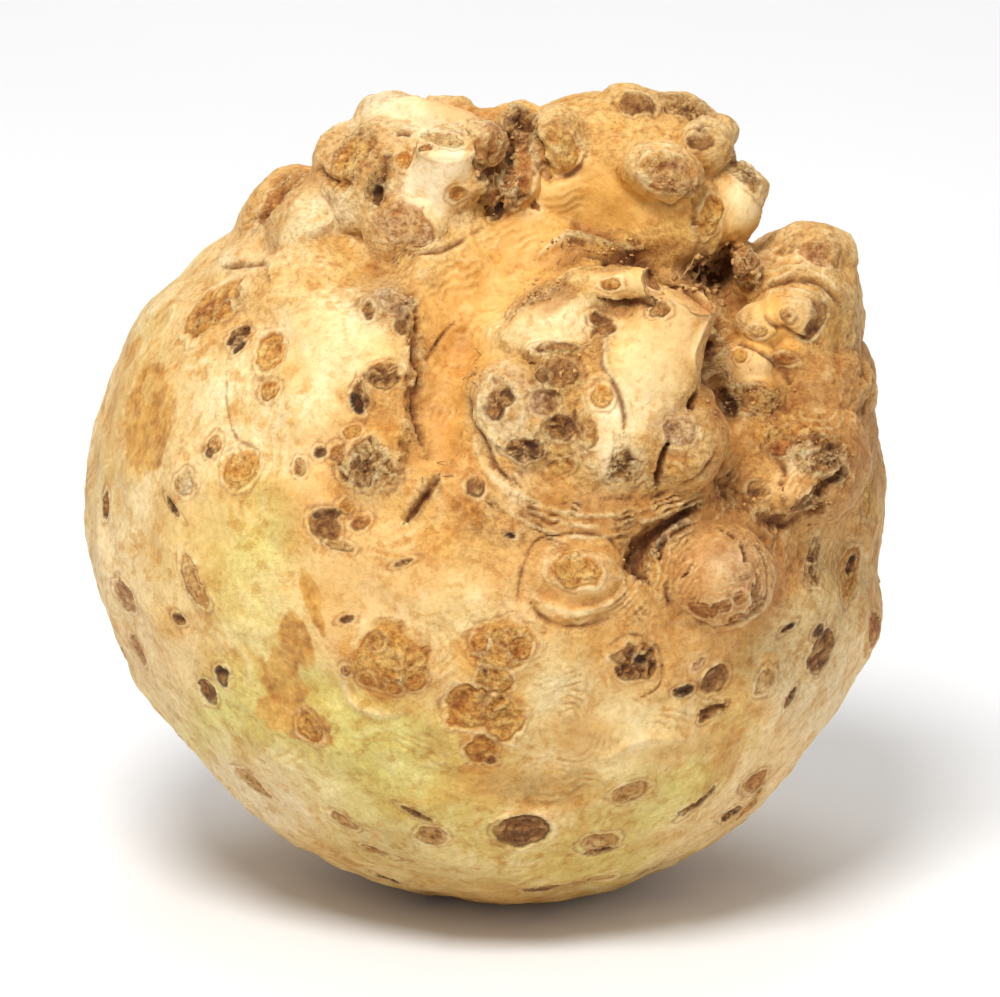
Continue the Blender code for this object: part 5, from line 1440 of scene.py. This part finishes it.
def skin_material():
    """Waxy skin in its painted colours, with fine mottling that is partly painted shade and highlight,
    hairlines, specks and grain.
    """
    material, tree, shader = new_material("celeriac_skin")
    colour = add_node(tree, "ShaderNodeAttribute")
    colour.attribute_name = "skin_colour"
    rough = add_node(tree, "ShaderNodeAttribute")
    rough.attribute_name = "skin_rough"
    rough = rough.outputs["Fac"]
    painted = colour.outputs["Color"]

    crisp = noise_node(tree, 1150.0, 6.0, 0.68)
    # darker in the valleys and paler on the crests of the same noise that bumps the shading: mottling,
    # partly painted shade and painted highlight
    valleys = spread(tree, crisp, 0.52, 0.34, 0.0, 1.0)
    crests = spread(tree, crisp, 0.50, 0.66, 0.0, 1.0)
    dark = mixed(tree, "MULTIPLY", 1.0, painted, plain_colour(MOTTLE_AND_SHADE))
    pale = mixed(tree, "MULTIPLY", 1.0, painted, MOTTLE_AND_HIGHLIGHT)
    depth = spread(tree, rough, 0.0, 0.9, 0.10, 1.0)
    painted = mixed(tree, "MIX", arithmetic(tree, "MULTIPLY", valleys, depth), painted, dark)
    painted = mixed(tree, "MIX", arithmetic(tree, "MULTIPLY", crests, depth), painted, pale)

    uneven = spread(tree, rough, 0.03, 0.16, 0.3, 1.0)
    for scale, low, high, tint in RAGGED_PATCHES:
        patch = spread(tree, noise_node(tree, scale, 7.0, 0.6), low, high, 0.0, 1.0)
        tinted = mixed(tree, "MULTIPLY", 1.0, painted, tint)
        painted = mixed(tree, "MIX", arithmetic(tree, "MULTIPLY", patch, uneven), painted, tinted)
    for scale, thin in HAIRLINES:
        lines = arithmetic(tree, "SUBTRACT", noise_node(tree, scale, 3.0, 0.55), 0.5)
        lines = spread(tree, arithmetic(tree, "ABSOLUTE", lines, 0.0), thin, 0.25 * thin, 0.0, 0.35)
        here = spread(tree, noise_node(tree, 0.6 * scale, 2.0), 0.54, 0.66, 0.0, 1.0)
        lines = arithmetic(tree, "MULTIPLY", lines, arithmetic(tree, "MULTIPLY", here, uneven))
        painted = mixed(tree, "MIX", lines, painted, plain_colour(HAIRLINE))
    specks = spread(tree, noise_node(tree, 620.0, 3.0), 0.64, 0.72, 0.0, 0.5)
    painted = mixed(tree, "MIX", specks, painted, plain_colour(SPECK))
    tree.links.new(painted, shader.inputs["Base Color"])

    gloss = spread(tree, noise_node(tree, 500.0), 0.3, 0.7, 0.42, 0.56)
    gloss = arithmetic(tree, "ADD", gloss, arithmetic(tree, "MULTIPLY", rough, 0.2))
    tree.links.new(gloss, shader.inputs["Roughness"])
    shader.inputs["Specular IOR Level"].default_value = 0.4

    coarse = spread(tree, rough, 0.0, 1.0, 0.10, 1.3)
    bump(tree, shader, arithmetic(tree, "MULTIPLY", crisp, coarse), 0.0011)
    return material


def blotched_material(name, cells, detail, half_range, colours, roughness):
    """A matt material in two colours, blotched by noise round its middle."""
    material, tree, shader = new_material(name)
    blotches = noise_node(tree, cells, detail)
    shade = spread(tree, blotches, 0.5 - half_range, 0.5 + half_range, 0.0, 1.0)
    colour = mixed(tree, "MIX", shade, *(plain_colour(colour) for colour in colours))
    tree.links.new(colour, shader.inputs["Base Color"])
    shader.inputs["Roughness"].default_value = roughness
    return material, tree, shader


def fibre_material():
    """Straw-brown dry root hair, darker in places."""
    material, tree, shader = blotched_material("root_hair", 600.0, 3.0, 0.15, HAIR_COLOURS, 0.75)
    bump(tree, shader, noise_node(tree, 3000.0), 0.0002)
    return material


def soil_material():
    """Crumbs of dry soil and flaked skin, from tan to dark brown."""
    material, tree, shader = blotched_material("soil_crumb", 420.0, 4.0, 0.12, SOIL_COLOURS, 0.85)
    bump(tree, shader, noise_node(tree, 2600.0), 0.0004)
    return material


def floor_material():
    """A plain, pale, matt floor."""
    material, tree, shader = new_material("pale_floor")
    shade = spread(tree, noise_node(tree, 8.0), 0.3, 0.7, 0.0, 1.0)
    colour = mixed(tree, "MIX", shade, (0.78, 0.78, 0.78, 1), (0.80, 0.80, 0.80, 1))
    tree.links.new(colour, shader.inputs["Base Color"])
    shader.inputs["Roughness"].default_value = 0.9
    shader.inputs["Specular IOR Level"].default_value = 0.1
    return material


def add_tube(bm, path, radius):
    """A closed tube along a path, which thins out towards its end."""
    rings = []
    for number, place in enumerate(path):
        ahead = path[min(number + 1, len(path) - 1)] - path[max(number - 1, 0)]
        across = Vector(ahead).orthogonal().normalized()
        up = Vector(ahead).normalized().cross(across)
        thickness = radius * (1 - HAIR_THINNING * number / (len(path) - 1))
        ring = []
        for step in range(HAIR_SIDES):
            angle = 2 * math.pi * step / HAIR_SIDES
            way = across * math.cos(angle) + up * math.sin(angle)
            ring.append(bm.verts.new(Vector(place) + way * thickness))
        rings.append(ring)
    for below, above in zip(rings, rings[1:]):
        for step in range(HAIR_SIDES):
            after = (step + 1) % HAIR_SIDES
            bm.faces.new((below[step], below[after], above[after], above[step]))
    bm.faces.new(rings[0][::-1])
    bm.faces.new(rings[-1])


def root_hairs(skin, draw):
    """Tufts of dry root hairs that leave the skin and bend over it."""
    bm = bmesh.new()
    for place, count, length, lean in HAIRS:
        for _ in range(count):
            spot = skin.facing(np.array(place) + draw.normal(size=2) * TUFT_SPREAD)
            normal = skin.normal(spot, 1.0)
            across, up = tangents(normal)
            way = normal * HAIR_RISE + across * lean[0] + up * lean[1] + draw.normal(size=3) * HAIR_SPREAD
            step_length = length * draw.uniform(*HAIR_LENGTHS) / HAIR_STEPS
            path = [skin.points[spot] - normal * HAIR_SINK]
            for _ in range(HAIR_STEPS):
                way = way / np.linalg.norm(way)
                path.append(path[-1] + way * step_length)
                way = way - normal * HAIR_DROOP + draw.normal(size=3) * HAIR_WANDER
            add_tube(bm, path, draw.uniform(*HAIR_RADII))
    return new_piece("root_hairs", bm)


def soil_crumbs(skin, draw):
    """Crumbs of soil and flaked skin, half sunk in the skin."""
    bm = bmesh.new()
    for place, half_sizes, count, largest in CRUMBS:
        for number in range(count):
            offset = draw.normal(size=2) * np.array(half_sizes) * 0.5 / PIXEL
            spot = skin.facing(np.array(place) + offset)
            radius = largest * draw.uniform(*CRUMB_RADII)
            stretch = draw.uniform(*CRUMB_STRETCHES, size=3)
            made = bmesh.ops.create_icosphere(bm, subdivisions=2, radius=1.0)["verts"]
            shape = np.array([vert.co for vert in made])
            lumps = lattice_noise(shape + 7.3 * number, CRUMB_LUMP_SIZE, 130)
            shape = shape * (1 + CRUMB_LUMPS * lumps[:, None]) * stretch * radius
            shape += skin.points[spot]
            shape += skin.normals[spot] * CRUMB_RISE * radius
            for vert, corner in zip(made, shape, strict=True):
                vert.co = corner
    return new_piece("soil_crumbs", bm)


def settle(piece, shift):
    """Turn a piece upright, in metres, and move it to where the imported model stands."""
    points = (upright(read_points(piece.data)) + shift) * METRES
    points[:, 2] = np.maximum(points[:, 2], 0.0)
    write_points(piece.data, points)


def dress(piece, material):
    """Give a piece its material, and let it ride on the root."""
    piece.data.materials.clear()
    piece.data.materials.append(material)
    piece.data.shade_smooth()
    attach(piece, "root")


def make_root():
    """The root with its hairs and crumbs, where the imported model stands."""
    draw = np.random.default_rng(SEED)
    root = block_out()
    shape_form(root.data, draw)
    finer = root.modifiers.new("finer", "SUBSURF")
    finer.levels = finer.render_levels = 1
    bake_modifiers(root)
    skin = detail(root.data, draw)
    skin.normals = read_normals(root.data)
    store_paint(root.data, skin)
    hairs = root_hairs(skin, draw)
    crumbs = soil_crumbs(skin, draw)

    stood = upright(skin.points)
    middle = (stood.min(0) + stood.max(0)) / 2
    low, high = np.array(CAD_BOX) / METRES
    shift = (low + high) / 2 - middle
    shift[2] = -(stood[:, 2].min() + FOOT_DEPTH)
    for piece in (root, hairs, crumbs):
        settle(piece, shift)
    bake_map(root.data)
    dress(root, skin_material())
    dress(hairs, fibre_material())
    dress(crumbs, soil_material())
    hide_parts(NODE)
    return shift


def add_floor():
    """A wide pale floor, just under the foot."""
    bm = bmesh.new()
    bmesh.ops.create_grid(bm, x_segments=8, y_segments=8, size=FLOOR_SIZE)
    floor = new_piece("floor", bm)
    floor.data.materials.append(floor_material())


def add_camera(shift):
    """The picture's camera: far off, level sides, looking down on the root."""
    data = bpy.data.cameras.new("camera")
    data.sensor_width = SENSOR
    data.lens = SENSOR * CAMERA_DISTANCE / (PICTURE[0] * PIXEL * METRES)
    data.clip_start = 0.1
    data.clip_end = 20.0
    camera = bpy.data.objects.new("camera", data)
    bpy.context.collection.objects.link(camera)
    aim = (upright(at((PICTURE[0] / 2, PICTURE[1] / 2))[None]) + shift)[0] * METRES
    way = Vector((0.0, -math.cos(LOOK_DOWN), math.sin(LOOK_DOWN)))
    camera.location = Vector(aim) + way * CAMERA_DISTANCE
    camera.rotation_euler = way.to_track_quat("Z", "Y").to_euler()
    bpy.context.scene.camera = camera


def add_lights():
    """Large soft lamps and a white room."""
    middle = (Vector(CAD_BOX[0]) + Vector(CAD_BOX[1])) / 2
    for name, place, size, power in LAMPS:
        lamp = bpy.data.lights.new(name, "AREA")
        lamp.shape = "DISK"
        lamp.size = size
        lamp.energy = power
        thing = bpy.data.objects.new(name, lamp)
        bpy.context.collection.objects.link(thing)
        thing.location = Vector(place) + middle
        thing.rotation_euler = Vector(place).to_track_quat("Z", "Y").to_euler()
    world = bpy.data.worlds.new("room")
    world.use_nodes = True
    ground = world.node_tree.nodes["Background"]
    ground.inputs["Color"].default_value = (1.0, 1.0, 1.0, 1.0)
    ground.inputs["Strength"].default_value = ROOM_LIGHT
    bpy.context.scene.world = world
    bpy.context.scene.view_settings.view_transform = "Standard"


shift = make_root()
add_floor()
add_camera(shift)
add_lights()
